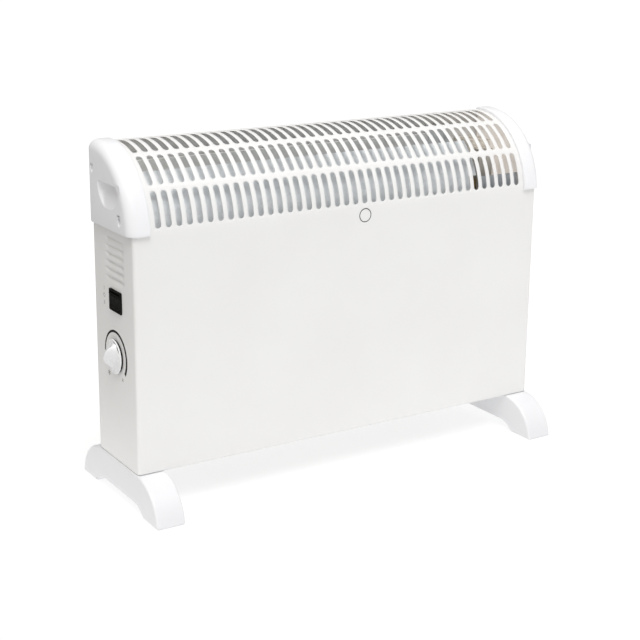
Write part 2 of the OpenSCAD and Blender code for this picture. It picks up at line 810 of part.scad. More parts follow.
module terminal_block() color(ceramic) in_body() difference() {
    block([block_x - 16, -12, 3], [block_x + 16, 6, 17]);
    for (k = [-1 : 1]) {
        rod_y(block_x + 10 * k, -13, 7, 9, 1.8);
        translate([block_x + 10 * k, -3, 11]) cylinder(h = 7, r = 2);
    }
}

// A tube of six sides along a route of points, drawn as one solid
function unit(v) = v / norm(v);
function heading(route, i) =
    i == 0 ? unit(route[1] - route[0])
    : i == len(route) - 1 ? unit(route[i] - route[i - 1])
    : unit(unit(route[i] - route[i - 1]) + unit(route[i + 1] - route[i]));
function side_of(h) = abs(h[2]) > 0.9 ? unit(cross(h, [1, 0, 0])) : unit(cross(h, [0, 0, 1]));

module wire(route, r) {
    sides = 6;
    rings = len(route);
    ring_points = [
        for (i = [0 : rings - 1])
            let (h = heading(route, i), u = side_of(h), v = cross(h, u))
                for (k = [0 : sides - 1])
                    route[i] + r * (cos(60 * k) * u + sin(60 * k) * v)
    ];
    walls = [
        for (i = [0 : rings - 2]) for (k = [0 : sides - 1])
            let (a = i * sides + k, b = i * sides + (k + 1) % sides)
                each [[a, b, b + sides], [a, b + sides, a + sides]]
    ];
    ends = [
        [for (k = [0 : sides - 1]) sides - 1 - k],
        [for (k = [0 : sides - 1]) (rings - 1) * sides + k]
    ];
    polyhedron(points = ring_points, faces = concat(walls, ends), convexity = 4);
}

// A smooth route through four control points
function bend(a, b, c, d, n = 12) = [
    for (i = [0 : n]) let (t = i / n)
        pow(1 - t, 3) * a + 3 * t * pow(1 - t, 2) * b + 3 * t * t * (1 - t) * c + pow(t, 3) * d
];

module internal_wires() color("#b9b4aa") in_body() {
    tab_x = -half_w + 36.6;
    bush_x = duct_left - 7;
    wire(bend([-250, 8, 9], [-250, 34, 12], [-222, 36, 90], [tab_x, 2, 174]), 1.1);
    wire(bend([-230, 8, 9], [-222, 40, 20], [-216, 40, 120], [-226, 7, 146]), 1.1);
    wire(
        bend([tab_x, 2, 186], [-214, 4, 190], [-216, -20, 140], [bush_x, -coil_y, coil_z + coil_rise]),
        1.1
    );
    wire(bend([tab_x, -12, 174], [-212, -16, 160], [-216, -24, 110], [bush_x, -coil_y, coil_z]), 1.1);
}

// ---------------------------------------------------------------- fasteners

module screw_down_x(x, len, y, z, r, head_r) {
    rod_x(x - len, x, y, z, r);
    rod_x(x, x + 2, y, z, head_r);
}

module cap_screws() color(dark_steel) in_body() mirrored_pair()
    for (p = cap_screw_at) screw_down_x(cap_x - cap_screw_seat, 13, p[0], p[1], 1.25, 3.2);

module foot_screws() color(dark_steel) in_body()
    for (sx = [-1, 1]) for (sy = [-1, 1]) translate([sx * foot_mid_x, sy * foot_screw_y, 0]) {
        translate([0, 0, -6]) cylinder(h = 12, r = 1.65);
        translate([0, 0, -8.2]) cylinder(h = 2.2, r = 3.8);
    }

module back_screws() color(dark_steel) in_body() {
    for (x = [-back_screw_x, back_screw_x]) for (z = back_screw_z) {
        rod_y(x, half_d - 8, half_d, z, 1.5);
        rod_y(x, half_d, half_d + 1.8, z, 3);
    }
    for (x = top_screw_x) {
        rod_y(x, half_d - 6, half_d, top_screw_z, 1.5);
        rod_y(x, half_d, half_d + 1.8, top_screw_z, 3);
    }
}

module thermostat_screws() color(dark_steel) in_body()
    for (s = [-1, 1]) {
        rod_x(-half_w, -side_x + 8, s * 11, dial_z, 1.15);
        rod_x(-half_w - 0.9, -half_w, s * 11, dial_z, 2.4);
    }

module motor_screws() color(dark_steel) in_body() at_fan() {
    for (s = [-1, 1]) {
        rod_x(bracket_plate_x - 1, stator_x1 + 6, s * motor_bolt_y, 0, 1.6);
        rod_x(bracket_plate_x - 3, bracket_plate_x, s * motor_bolt_y, 0, 3);
    }
    for (p = guard_lugs) {
        rod_x(bulkhead_x - 2, bulkhead_x + 4, p[0], p[1], 1.5);
        rod_x(bulkhead_x + 2.9, bulkhead_x + 4.5, p[0], p[1], 3);
    }
}

front_panel();
back_panel();
base_grid();
left_end_cap();
right_end_cap();
left_foot();
right_foot();
left_cap_bracket();
right_cap_bracket();
front_shield();
low_front_shield();
rear_shield();
compartment_wall();
fan_bulkhead();
element_rails();
mica_boards();
lower_heating_coil();
upper_heating_coil();
coil_terminals();
thermal_cutout();
fan_guard();
motor_bracket();
motor_stator();
motor_coil();
motor_bearings();
motor_rotor();
fan_impeller();
thermostat_body();
thermostat_spindle();
thermostat_knob();
switch_housing();
switch_rocker();
switch_terminals();
terminal_block();
cord_gland();
internal_wires();
cap_screws();
foot_screws();
back_screws();
thermostat_screws();
motor_screws();
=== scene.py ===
"""Looks of a fan convector heater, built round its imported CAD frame.

Shapes are worked out in casing millimetres: x = 0 at mid-width, y = 0 at mid-depth (front is -y),
z = 0 at the casing's lower edge. Shape.build() turns them into metres in the frame's own place.
"""
import math

import bmesh
import bpy
import numpy as np
from mathutils import Matrix, Vector
from mathutils.geometry import delaunay_2d_cdt


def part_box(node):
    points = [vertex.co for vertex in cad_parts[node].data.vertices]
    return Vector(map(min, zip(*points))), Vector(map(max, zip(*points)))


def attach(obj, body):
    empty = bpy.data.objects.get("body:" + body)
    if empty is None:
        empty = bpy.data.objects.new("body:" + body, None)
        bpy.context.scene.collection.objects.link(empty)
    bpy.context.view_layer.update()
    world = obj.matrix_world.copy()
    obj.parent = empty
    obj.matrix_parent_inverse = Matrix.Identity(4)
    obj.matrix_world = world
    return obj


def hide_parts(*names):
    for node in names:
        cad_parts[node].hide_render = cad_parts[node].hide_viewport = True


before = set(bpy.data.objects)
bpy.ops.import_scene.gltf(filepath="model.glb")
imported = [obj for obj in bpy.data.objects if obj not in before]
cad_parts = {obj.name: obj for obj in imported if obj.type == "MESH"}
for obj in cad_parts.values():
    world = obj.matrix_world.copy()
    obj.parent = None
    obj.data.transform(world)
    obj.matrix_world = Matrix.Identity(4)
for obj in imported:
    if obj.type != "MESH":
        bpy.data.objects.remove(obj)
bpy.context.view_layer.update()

MM = 0.001

# ---- places taken from the frame


def corners(node):
    """Lowest and highest corner of a CAD node, in millimetres in the frame."""
    low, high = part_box(node)
    return low / MM, high / MM


base_low, base_high = corners("base_grid")
panel_low, panel_high = corners("front_panel")
SHIFT_X = (base_low.x + base_high.x) / 2
FLOOR_TO_CASING = base_low.z


def casing(node):
    """Lowest and highest corner of a CAD node, in casing millimetres."""
    low, high = corners(node)
    offset = Vector((SHIFT_X, 0, FLOOR_TO_CASING))
    return low - offset, high - offset


def in_frame(x, y, z):
    """A casing point in millimetres as a place in the frame in metres."""
    return ((x + SHIFT_X) * MM, y * MM, (z + FLOOR_TO_CASING) * MM)


HALF_W = panel_high.x - SHIFT_X
HALF_D = -panel_low.y
TOP_Z = panel_high.z - FLOOR_TO_CASING
TOP_R = 88
ARC_Y = TOP_R - HALF_D
ARC_Z = TOP_Z - TOP_R
CORNER_R = 3.5
SHEET_T = 0.8
FOLD_Y = HALF_D - 1

SLOT_COUNT = 40
SLOT_PITCH = 12
SLOT_R = 3.3
SLOT_STRAIGHT = 16
FIRST_ROW_S = TOP_R * math.radians(19.2)
ROW_STEP_S = TOP_R * math.radians(29.5)
HALF_STEP_S = ROW_STEP_S / 2

dial_low, dial_high = casing("thermostat_knob")
DIAL_Z = (dial_low.z + dial_high.z) / 2
KNOB_R = (dial_high.z - dial_low.z) / 2
KNOB_REACH = -HALF_W - dial_low.x
KNOB_ANGLE = math.radians(32)
switch_low, switch_high = casing("switch_housing")
SWITCH_Y = (switch_low.y + switch_high.y) / 2
SWITCH_Z = (switch_low.z + switch_high.z) / 2

# ---- mesh helpers


def smooth_min(a, b, k):
    h = np.clip(0.5 + 0.5 * (b - a) / k, 0, 1)
    return b * (1 - h) + a * h - k * h * (1 - h)


def smooth_max(a, b, k):
    return -smooth_min(-a, -b, k)


def steps(start, end, count):
    return [start + (end - start) * i / count for i in range(count + 1)]


def cos_sin(degrees):
    return math.cos(math.radians(degrees)), math.sin(math.radians(degrees))


def turns(start, end, count):
    """Cosine and sine of angles spread from start to end, in degrees."""
    return [cos_sin(a) for a in steps(start, end, count)]


def circle(count):
    """Cosine and sine of angles spread round a full circle."""
    return [(math.cos(a), math.sin(a)) for a in steps(0, 2 * math.pi, count)[:-1]]


def add_object(name, data):
    made = bpy.data.objects.new(name, data)
    bpy.context.scene.collection.objects.link(made)
    return made


def directions(axis):
    """Unit vectors along an axis and across it, at right angles to each other."""
    along = Vector(axis).normalized()
    across = along.orthogonal().normalized()
    return along, across, along.cross(across)


class Shape:
    """Points in casing millimetres and faces, gathered and then built as one object."""

    def __init__(self):
        self.points = []
        self.faces = []

    def grid(self, rows, closed=False, flip=False, skip=None):
        """Quads between rows of points; a face's normal is column direction x row direction."""
        start = len(self.points)
        width = len(rows[0])
        for row in rows:
            self.points.extend(tuple(p) for p in row)
        for i in range(len(rows) - 1):
            for j in range(width if closed else width - 1):
                if skip and skip(i, j):
                    continue
                k = (j + 1) % width
                a = start + i * width
                face = (a + j, a + k, a + width + k, a + width + j)
                self.faces.append(face[::-1] if flip else face)

    def polygon(self, points, flip=False):
        around = range(len(points))
        self.patch(points, [around[::-1] if flip else around])

    def patch(self, points, faces):
        start = len(self.points)
        self.points.extend(tuple(p) for p in points)
        self.faces.extend(tuple(start + i for i in face) for face in faces)

    def prism(self, outline, x0, x1):
        """An outline of (y, z) points, anticlockwise seen from +x, extruded along x."""
        left, right = ([(x, y, z) for y, z in outline] for x in (x0, x1))
        self.grid([left, right], closed=True)
        self.polygon(right)
        self.polygon(left, flip=True)

    def box(self, low, high):
        (x0, y0, z0), (x1, y1, z1) = low, high
        self.prism([(y0, z0), (y1, z0), (y1, z1), (y0, z1)], x0, x1)

    def lathe(self, profile, centre, axis, sides=48):
        """Revolves (radius, height) points about an axis through centre."""
        along, across, third = directions(axis)
        rows = []
        for radius, height in profile:
            middle = Vector(centre) + along * height
            rows.append([middle + (across * c + third * s) * radius for c, s in circle(sides)])
        self.grid(rows, closed=True)

    def tube(self, path, radius, sides):
        """A round tube with closed ends along a path of points."""
        path = [Vector(p) for p in path]
        rows = []
        u = None
        for i, p in enumerate(path):
            heading = (path[min(i + 1, len(path) - 1)] - path[max(i - 1, 0)]).normalized()
            u = heading.orthogonal() if u is None else u - heading * u.dot(heading)
            u.normalize()
            v = heading.cross(u)
            rows.append([p + (u * c + v * s) * radius for c, s in circle(sides)])
        self.grid(rows, closed=True)
        self.polygon(rows[0], flip=True)
        self.polygon(rows[-1])

    def mirrored(self):
        other = Shape()
        other.points = [(-x, y, z) for x, y, z in self.points]
        other.faces = [face[::-1] for face in self.faces]
        return other

    def turned(self, matrix):
        self.points = [tuple(matrix @ Vector(p)) for p in self.points]
        return self

    def build(self, name, material, body, weld=0.004):
        """Makes the object; points closer than weld millimetres become one."""
        mesh = bpy.data.meshes.new(name)
        mesh.from_pydata([in_frame(*point) for point in self.points], [], self.faces)
        work = bmesh.new()
        work.from_mesh(mesh)
        bmesh.ops.remove_doubles(work, verts=work.verts, dist=weld * MM)
        bmesh.ops.dissolve_degenerate(work, edges=work.edges, dist=1e-7)
        work.to_mesh(mesh)
        work.free()
        mesh.polygons.foreach_set("use_smooth", [True] * len(mesh.polygons))
        mesh.materials.append(material)
        piece = add_object(name, mesh)
        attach(piece, body)
        return piece


def soften(piece, width, segments=3, angle=35):
    """Rounds a piece's hard edges and keeps its flat faces flat."""
    bevel = piece.modifiers.new("round_edges", "BEVEL")
    bevel.width = width * MM
    bevel.segments = segments
    bevel.limit_method = "ANGLE"
    bevel.angle_limit = math.radians(angle)
    bevel.harden_normals = True
    return piece


def crisp(piece, angle=35):
    """Smooth shading that keeps edges sharper than the given angle."""
    mesh = piece.data
    work = bmesh.new()
    work.from_mesh(mesh)
    limit = math.radians(angle)
    for edge in work.edges:
        if len(edge.link_faces) == 2 and edge.calc_face_angle(0) > limit:
            edge.smooth = False
    work.to_mesh(mesh)
    work.free()
    return piece


def thicken(piece, thickness):
    """Gives a surface its sheet thickness, inwards."""
    solid = piece.modifiers.new("sheet", "SOLIDIFY")
    solid.thickness = thickness * MM
    solid.offset = -1
    solid.use_even_offset = True
    return piece


def inside(outline, y, z):
    """Whether a point lies in a closed outline of (y, z) points."""
    found = False
    for (ay, az), (by, bz) in zip(outline, outline[1:] + outline[:1]):
        if (az > z) != (bz > z) and y < (by - ay) * (z - az) / (bz - az) + ay:
            found = not found
    return found


def flat_region(outline, holes):
    """Triangles that fill an outline less its holes; all are lists of (y, z) points."""
    points = []
    edges = []
    for loop in [outline] + holes:
        start = len(points)
        points.extend(loop)
        edges.extend((start + i, start + (i + 1) % len(loop)) for i in range(len(loop)))
    found, _, triangles, *_ = delaunay_2d_cdt([Vector(p) for p in points], edges, [], 0, 1e-6)
    kept = []
    for t in triangles:
        y = sum(found[i].x for i in t) / 3
        z = sum(found[i].y for i in t) / 3
        if inside(outline, y, z) and not any(inside(h, y, z) for h in holes):
            kept.append(t)
    return [(p.x, p.y) for p in found], kept


def arc_points(cy, cz, radius, start, end, count):
    """Points on an arc in (y, z); angles in degrees from +y towards +z."""
    return [(cy + radius * c, cz + radius * s) for c, s in turns(start, end, count)]


# ---- materials


def add_node(tree, kind, **settings):
    """Adds a shader node; settings name its properties or its input sockets."""
    made = tree.nodes.new(kind)
    for key, value in settings.items():
        if hasattr(made, key):
            setattr(made, key, value)
        else:
            made.inputs[key].default_value = value
    return made


def map_range(tree, value, ends, low, high, kind="LINEAR"):
    """Maps a value between two ends to low and high."""
    limits = {"From Min": ends[0], "From Max": ends[1], "To Min": low, "To Max": high}
    ranged = add_node(tree, "ShaderNodeMapRange", interpolation_type=kind, **limits)
    tree.links.new(value, ranged.inputs["Value"])
    return ranged.outputs["Result"]


class Look:
    """A procedural material: a Principled shader and the nodes that feed it."""

    def __init__(self, name, metallic=0.0, specular=0.5):
        self.material = bpy.data.materials.new(name)
        self.material.use_nodes = True
        self.tree = self.material.node_tree
        self.shader = self.tree.nodes["Principled BSDF"]
        self.shader.inputs["Metallic"].default_value = metallic
        self.shader.inputs["Specular IOR Level"].default_value = specular
        self.coordinates = self.node("ShaderNodeTexCoord").outputs["Object"]
        self.normal = None

    def node(self, kind, **settings):
        return add_node(self.tree, kind, **settings)

    def link(self, source, target):
        self.tree.links.new(source, target)

    def noise(self, scale, detail=2.0, stretch=None):
        texture = self.node("ShaderNodeTexNoise", Scale=scale, Detail=detail)
        self.feed(texture, stretch)
        return texture.outputs["Fac"]

    def cells(self, scale, output="Color"):
        texture = self.node("ShaderNodeTexVoronoi", Scale=scale)
        self.feed(texture)
        return texture.outputs[output]

    def feed(self, texture, stretch=None):
        """Gives a texture the object's coordinates, scaled per axis by stretch."""
        source = self.coordinates
        if stretch:
            mapping = self.node("ShaderNodeMapping", Scale=stretch)
            self.link(source, mapping.inputs["Vector"])
            source = mapping.outputs["Vector"]
        self.link(source, texture.inputs["Vector"])

    def spread(self, value, low, high, start=0.3, end=0.7):
        return map_range(self.tree, value, (start, end), low, high)

    def tint(self, value, dark, light, start=0.3, end=0.7):
        """Base colour that varies between two tones with a texture value."""
        ramp = self.node("ShaderNodeValToRGB")
        for stop, place, colour in zip(ramp.color_ramp.elements, (start, end), (dark, light)):
            stop.position = place
            stop.color = (*colour, 1)
        self.link(value, ramp.inputs["Fac"])
        self.link(ramp.outputs["Color"], self.shader.inputs["Base Color"])

    def rough(self, value, low, high, start=0.3, end=0.7):
        self.link(self.spread(value, low, high, start, end), self.shader.inputs["Roughness"])

    def bump(self, value, height, strength=0.5):
        """Adds a layer of bump, height in millimetres."""
        layer = self.node("ShaderNodeBump", Strength=strength, Distance=height * MM)
        self.link(value, layer.inputs["Height"])
        if self.normal:
            self.link(self.normal, layer.inputs["Normal"])
        self.normal = layer.outputs["Normal"]
        self.link(self.normal, self.shader.inputs["Normal"])


def surface(name, dark, light, grain, gloss, bumps, **shine):
    """A material whose colour, roughness and relief each vary with noise of its own scale.

    grain is (scale, detail); gloss adds the lowest and highest roughness; each bump adds its height
    in millimetres and its strength.
    """
    look = Look(name, **shine)
    look.tint(look.noise(*grain), dark, light)
    look.rough(look.noise(*gloss[:2]), *gloss[2:])
    for scale, detail, height, strength in bumps:
        look.bump(look.noise(scale, detail), height, strength)
    return look.material


def white_abs(name, dark, light):
    bumps = ((1600, 2, 0.03, 0.3), (35, 1, 0.06, 0.2))
    return surface(name, dark, light, (14, 3), (90, 3, 0.28, 0.38), bumps)


def galvanised(name, dark, light, smoothest, metallic):
    """Zinc-coated sheet with its pattern of crystals."""
    look = Look(name, metallic=metallic)
    look.tint(look.cells(150), dark, light, 0.1, 0.9)
    look.rough(look.noise(130, 4), smoothest, smoothest + 0.18)
    look.bump(look.noise(700, 3), 0.02, 0.3)
    return look.material


def painted_glow_steel():
    """Primed steel behind the thin white cap, with a painted warm glow in its emission that stands in
    for light coming through the cap.
    """
    look = Look("painted_glow_steel")
    glow = look.noise(30, 2)
    look.tint(glow, (0.84, 0.81, 0.78), (0.92, 0.9, 0.87))
    look.shader.inputs["Emission Color"].default_value = (1, 0.93, 0.87, 1)
    # Painted glow: emission that stands in for light reaching the bracket inside.
    look.link(look.spread(glow, 0.2, 0.34), look.shader.inputs["Emission Strength"])
    look.rough(look.noise(200, 3), 0.5, 0.7)
    look.bump(look.noise(900, 3), 0.02, 0.3)
    return look.material


def bare_steel(name, dark, light, roughness):
    gloss = (500, 2, roughness - 0.08, roughness + 0.1)
    return surface(name, dark, light, (300, 4), gloss, ((1500, 2, 0.02, 0.4),), metallic=0.8)


def laminated_steel():
    look = Look("laminated_steel", metallic=0.2)
    layers = look.noise(40, 1, stretch=(60, 0.4, 0.4))
    look.tint(layers, (0.52, 0.49, 0.44), (0.78, 0.75, 0.69))
    look.rough(look.noise(200, 2), 0.42, 0.6)
    look.bump(layers, 0.15, 0.5)
    return look.material


def mica():
    look = Look("mica_board", specular=0.4)
    look.tint(look.cells(420), (0.46, 0.35, 0.22), (0.74, 0.62, 0.44), 0.1, 0.9)
    look.rough(look.cells(300), 0.3, 0.65, 0.1, 0.9)
    look.bump(look.cells(420), 0.05, 0.5)
    return look.material


def winding_tape():
    look = Look("winding_tape")
    wraps = look.noise(30, 2, stretch=(1, 1, 9))
    look.tint(wraps, (0.8, 0.73, 0.64), (0.92, 0.87, 0.8))
    look.rough(look.noise(260, 2), 0.34, 0.55)
    look.bump(wraps, 0.25, 0.5)
    return look.material


def glass_sleeve(name, dark, light):
    look = Look(name, specular=0.3)
    braid = look.cells(1300, output="Distance")
    look.tint(braid, light, dark, 0.0, 0.7)
    look.rough(look.noise(500, 2), 0.65, 0.85)
    look.bump(braid, 0.12, 0.6)
    return look.material


def printed_ink(name, dark, light):
    bumps = ((3000, 2, 0.01, 0.3),)
    return surface(name, dark, light, (1500, 3), (900, 2, 0.42, 0.6), bumps, specular=0.12)


PAINT = surface(
    "powder_coat", (0.845, 0.842, 0.832), (0.872, 0.872, 0.866), specular=0.45,
    grain=(9, 3), gloss=(60, 2, 0.36, 0.46), bumps=((1100, 2, 0.05, 0.35), (240, 1, 0.05, 0.25)),
)
ABS = white_abs("white_abs", (0.9, 0.904, 0.924), (0.922, 0.929, 0.95))
# The feet use a darker copy of the white plastic: painted shade.
SHADED_FOOT_ABS = white_abs("white_abs_feet_painted_shade", (0.8, 0.803, 0.822), (0.82, 0.825, 0.845))
KNOB = surface(
    "knob_plastic", (0.915, 0.925, 0.935), (0.945, 0.952, 0.965),
    grain=(60, 2), gloss=(220, 2, 0.22, 0.31), bumps=((900, 2, 0.02, 0.25),),
)
BLACK = surface(
    "black_plastic", (0.005, 0.005, 0.0045), (0.012, 0.012, 0.011), specular=0.08,
    grain=(160, 3), gloss=(300, 2, 0.55, 0.72), bumps=((2600, 2, 0.03, 0.4),),
)
ZINC = galvanised("galvanised", (0.74, 0.77, 0.79), (0.85, 0.88, 0.9), 0.5, 0.05)
# A darker copy of the galvanised look for the low front shield: painted shade.
SHADED_ZINC = galvanised("galvanised_painted_shade", (0.4, 0.43, 0.46), (0.5, 0.53, 0.56), 0.56, 0.1)
GLOWING_CAP_BACKING = painted_glow_steel()
# A lighter copy of the sheet look for the rear shield inside: painted light.
LIT_SHEET = surface(
    "sheet_painted_light", (0.91, 0.92, 0.9), (0.95, 0.96, 0.94), metallic=0.05,
    grain=(40, 4), gloss=(200, 3, 0.42, 0.62), bumps=((900, 3, 0.02, 0.3),),
)
LAMINATED = laminated_steel()
DARK_STEEL = bare_steel("dark_steel", (0.13, 0.13, 0.135), (0.26, 0.26, 0.27), 0.42)
SCREW_STEEL = bare_steel("screw_steel", (0.74, 0.75, 0.77), (0.9, 0.91, 0.93), 0.46)
MICA = mica()
WIRE = surface(
    "oxidised_wire", (0.11, 0.095, 0.085), (0.33, 0.29, 0.25), metallic=0.75,
    grain=(420, 4), gloss=(600, 2, 0.42, 0.66), bumps=((2500, 2, 0.02, 0.4),),
)
CERAMIC = surface(
    "steatite", (0.78, 0.73, 0.62), (0.88, 0.85, 0.77),
    grain=(120, 4), gloss=(400, 2, 0.2, 0.36), bumps=((800, 3, 0.03, 0.3),),
)
WINDING = winding_tape()
BRASS = surface(
    "satin_brass", (0.58, 0.42, 0.17), (0.8, 0.62, 0.3), metallic=0.9,
    grain=(240, 4), gloss=(500, 2, 0.26, 0.44), bumps=((1800, 2, 0.015, 0.4),),
)
SLEEVE_PALE = glass_sleeve("sleeve_pale", (0.5, 0.48, 0.43), (0.72, 0.7, 0.64))
SLEEVE_BLUE = glass_sleeve("sleeve_blue", (0.05, 0.09, 0.2), (0.1, 0.17, 0.36))
INK_BLACK = printed_ink("ink_black", (0.005, 0.004, 0.004), (0.011, 0.009, 0.008))
INK_GREY = printed_ink("ink_grey", (0.2, 0.19, 0.18), (0.28, 0.27, 0.26))

# ---- casing sheet with grille and louvres

LOUVRE_TOPS = [202.6 + 8.4 * k for k in range(6)]
LOUVRE_RISE = 5
LOUVRE_DEPTH = 1.2
LOUVRE_DROP = 0.35
LOUVRE_Y = (-22.5, 15.5)
LOUVRE_END = 2.2
CUTOUT_Y = (SWITCH_Y - 13.4, SWITCH_Y + 13.4)
CUTOUT_Z = (SWITCH_Z - 10.6, SWITCH_Z + 10.6)
CUTOUT_RIM = 0.5
WING_TOP = ARC_Z + 10
SLOT_RUN = steps(-SLOT_STRAIGHT, SLOT_STRAIGHT, 12)
SLOT_TIP_S = SLOT_STRAIGHT + SLOT_R
SLOT_SIDE_S = [-HALF_STEP_S, -SLOT_TIP_S] + SLOT_RUN + [SLOT_TIP_S, HALF_STEP_S]
SLOT_EDGE = ((SLOT_R, 0.5), (SLOT_R + 0.14, 0.2), (SLOT_R + 0.5, 0.0))
GRILLE_X = SLOT_COUNT * SLOT_PITCH / 2
MARGIN_X = (GRILLE_X, 248, 256)
BACK_FOLD_R = 1.2
BACK_FOLD_DEPTH = 18


def on_front(x, s, depth=0.0):
    """A point of the front sheet: s runs up the front, over the curve and to the back."""
    end_s = ARC_Z + TOP_R * math.pi / 2
    if s <= ARC_Z:
        return (x, -HALF_D + depth, s)
    if s <= end_s:
        angle = (s - ARC_Z) / TOP_R
        radius = TOP_R - depth
        return (x, ARC_Y - radius * math.cos(angle), ARC_Z + radius * math.sin(angle))
    return (x, ARC_Y + s - end_s, TOP_Z - depth)


def louvre_depth(y, rise):
    """How deep a louvre's ramp is; rise is the height above its lower end."""
    if not (LOUVRE_Y[0] < y < LOUVRE_Y[1]) or rise <= 0:
        return 0.0
    along = (rise / LOUVRE_RISE) ** 1.1
    to_end = min(y - LOUVRE_Y[0], LOUVRE_Y[1] - y)
    return LOUVRE_DEPTH * along * min(1, to_end / LOUVRE_END) ** 0.6


def grille_cell(shape, x, centre):
    """One slot with its rolled edge and the sheet round it, as rings of quads."""
    half_p = SLOT_PITCH / 2
    upper = [(half_p, SLOT_TIP_S)] + [(u, HALF_STEP_S) for u in (half_p, 3, 0, -3, -half_p)]
    upper.append((-half_p, SLOT_TIP_S))
    outer = [(half_p, v) for v in SLOT_RUN] + upper
    outer += [(-u, -v) for u, v in outer]
    end_turns = turns(0, 180, 8)[1:-1]
    rings = []
    for radius, depth in SLOT_EDGE:
        ring = [(radius, v) for v in SLOT_RUN]
        ring += [(radius * c, SLOT_STRAIGHT + radius * s) for c, s in end_turns]
        ring += [(-u, -v) for u, v in ring]
        rings.append([on_front(x + u, centre + v, depth) for u, v in ring])
    rings.append([on_front(x + u, centre + v) for u, v in outer])
    shape.grid(rings, closed=True, flip=True)


def left_wall_y():
    """Columns of the left wall from the back to the front fold, close together where it is shaped."""
    back, front = LOUVRE_Y[1], LOUVRE_Y[0]
    ends = (0, 0.3, 0.7, 1.4, LOUVRE_END)
    shaped = [back - d for d in ends] + steps(12, -19, 12) + [front + d for d in ends]
    shaped += [CUTOUT_Y[0] - CUTOUT_RIM, *CUTOUT_Y, CUTOUT_Y[1] + CUTOUT_RIM]
    return [FOLD_Y - 1, FOLD_Y - 1.5, 36, 26] + sorted(shaped, reverse=True) + [-28, -35]


def wall_levels():
    """Heights of the walls' rows, each with its rise above the lower end of a louvre."""
    plain = (0, 0.5, 30, 60, 90, 120, 150, CUTOUT_Z[0] - CUTOUT_RIM, *CUTOUT_Z, CUTOUT_Z[1] + CUTOUT_RIM)
    levels = [(z, 0) for z in plain]
    for top in LOUVRE_TOPS:
        rises = (0, 0.5, 1.1, 1.8, 2.6, 3.4, 4.2, LOUVRE_RISE)
        levels += [(top - LOUVRE_RISE + rise, rise) for rise in rises]
        levels.append((top + 0.01, 0))
    return levels + [(250, 0), (ARC_Z, 0)]


def front_columns():
    margin = list(MARGIN_X[1:])
    return [-x for x in reversed(margin)] + steps(-GRILLE_X, GRILLE_X, 160) + margin


def walls(shape):
    """Both side walls and the flat front, folded from one strip."""
    fold_x = HALF_W - CORNER_R
    fold_y = -HALF_D + CORNER_R
    side_left = [(-HALF_W, y) for y in left_wall_y() + [fold_y]]
    turn_left = [(-fold_x - CORNER_R * c, fold_y - CORNER_R * s) for c, s in turns(0, 90, 8)[1:]]
    front = [(x, -HALF_D) for x in front_columns()]
    turn_right = [(-x, y) for x, y in reversed(turn_left)]
    side_right = [(HALF_W, y) for y in (fold_y, -20, 10, 36, FOLD_Y - 1.5, FOLD_Y - 1)]
    path = side_left + turn_left + front + turn_right + side_right
    levels = wall_levels()
    rows = []
    for z, rise in levels:
        sunk = [louvre_depth(y, rise) if x == -HALF_W else 0 for x, y in path]
        drop = LOUVRE_DROP if rise == LOUVRE_RISE else 0
        rows.append([(x + d, y, z - (drop if d else 0)) for (x, y), d in zip(path, sunk)])

    def opened(i, j):
        """Whether a quad lies in a louvre's slit or in the switch cut-out."""
        (x, back), (_, front) = path[j], path[j + 1]
        if x != -HALF_W:
            return False
        if levels[i][0] == CUTOUT_Z[0]:
            return CUTOUT_Y[0] <= front and back <= CUTOUT_Y[1]
        return levels[i][1] == LOUVRE_RISE and LOUVRE_Y[0] < back and front < LOUVRE_Y[1]

    shape.grid(rows, skip=opened)
    for ends in (side_left + turn_left, turn_right + side_right):
        shape.grid([[(x, y, z) for x, y in ends] for z in (ARC_Z, WING_TOP)])


def curved_top(shape):
    """The curve over the top with its three rows of slots, and the fold down at the back."""
    fold_x = HALF_W - CORNER_R
    row_s = [ARC_Z + FIRST_ROW_S + k * ROW_STEP_S for k in range(3)]
    grille_low = row_s[0] + SLOT_SIDE_S[0]
    grille_high = row_s[2] + SLOT_SIDE_S[-1]
    top_x = [-fold_x] + front_columns() + [fold_x]
    right_margin = [*MARGIN_X, fold_x]
    left_margin = [-x for x in reversed(right_margin)]
    shape.grid([[on_front(x, s) for x in top_x] for s in steps(ARC_Z, grille_low, 3)])
    for centre in row_s:
        for k in range(SLOT_COUNT):
            grille_cell(shape, SLOT_PITCH * (k - (SLOT_COUNT - 1) / 2), centre)
        for margin in (left_margin, right_margin):
            shape.grid([[on_front(x, centre + v) for x in margin] for v in SLOT_SIDE_S])
    back_s = ARC_Z + TOP_R * math.pi / 2 + FOLD_Y - ARC_Y
    flat_s = (grille_high, back_s - 2 * BACK_FOLD_R, back_s - BACK_FOLD_R)
    rows = [[on_front(x, s) for x in top_x] for s in flat_s]
    for c, s in turns(90, 0, 4)[1:]:
        y = FOLD_Y - BACK_FOLD_R + BACK_FOLD_R * c
        z = TOP_Z - BACK_FOLD_R + BACK_FOLD_R * s
        rows.append([(x, y, z) for x in top_x])
    rows.append([(x, FOLD_Y, TOP_Z - BACK_FOLD_DEPTH) for x in top_x])
    shape.grid(rows)


def casing_sheet():
    shape = Shape()
    walls(shape)
    curved_top(shape)
    piece = thicken(shape.build("casing_sheet", PAINT, "casing", weld=0.003), SHEET_T)
    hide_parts("front_panel")


# ---- end caps

cap_low, cap_high = casing("right_end_cap")
CAP_IN_X = cap_low.x
CAP_X = cap_high.x
CAP_R = ARC_Y - cap_low.y
CAP_BACK = cap_high.y
CAP_Z = cap_low.z
CAP_EDGE = 11
CAP_LIP = 1.2
CAP_LIP_Z = CAP_Z + CAP_LIP
CAP_INNER_R = 1.5
CAP_WALL = 2.9
CAP_STAND_OFF = 3.3
GRIP_Y = -3
GRIP_Z = 302
GRIP_R = 25
GRIP_DEPTH = 8
GRIP_LIP = 0.7
CAP_SCREWS = ((36.5, 316.5), (-29, 270.5))
SCREW_RECESS = 9.5


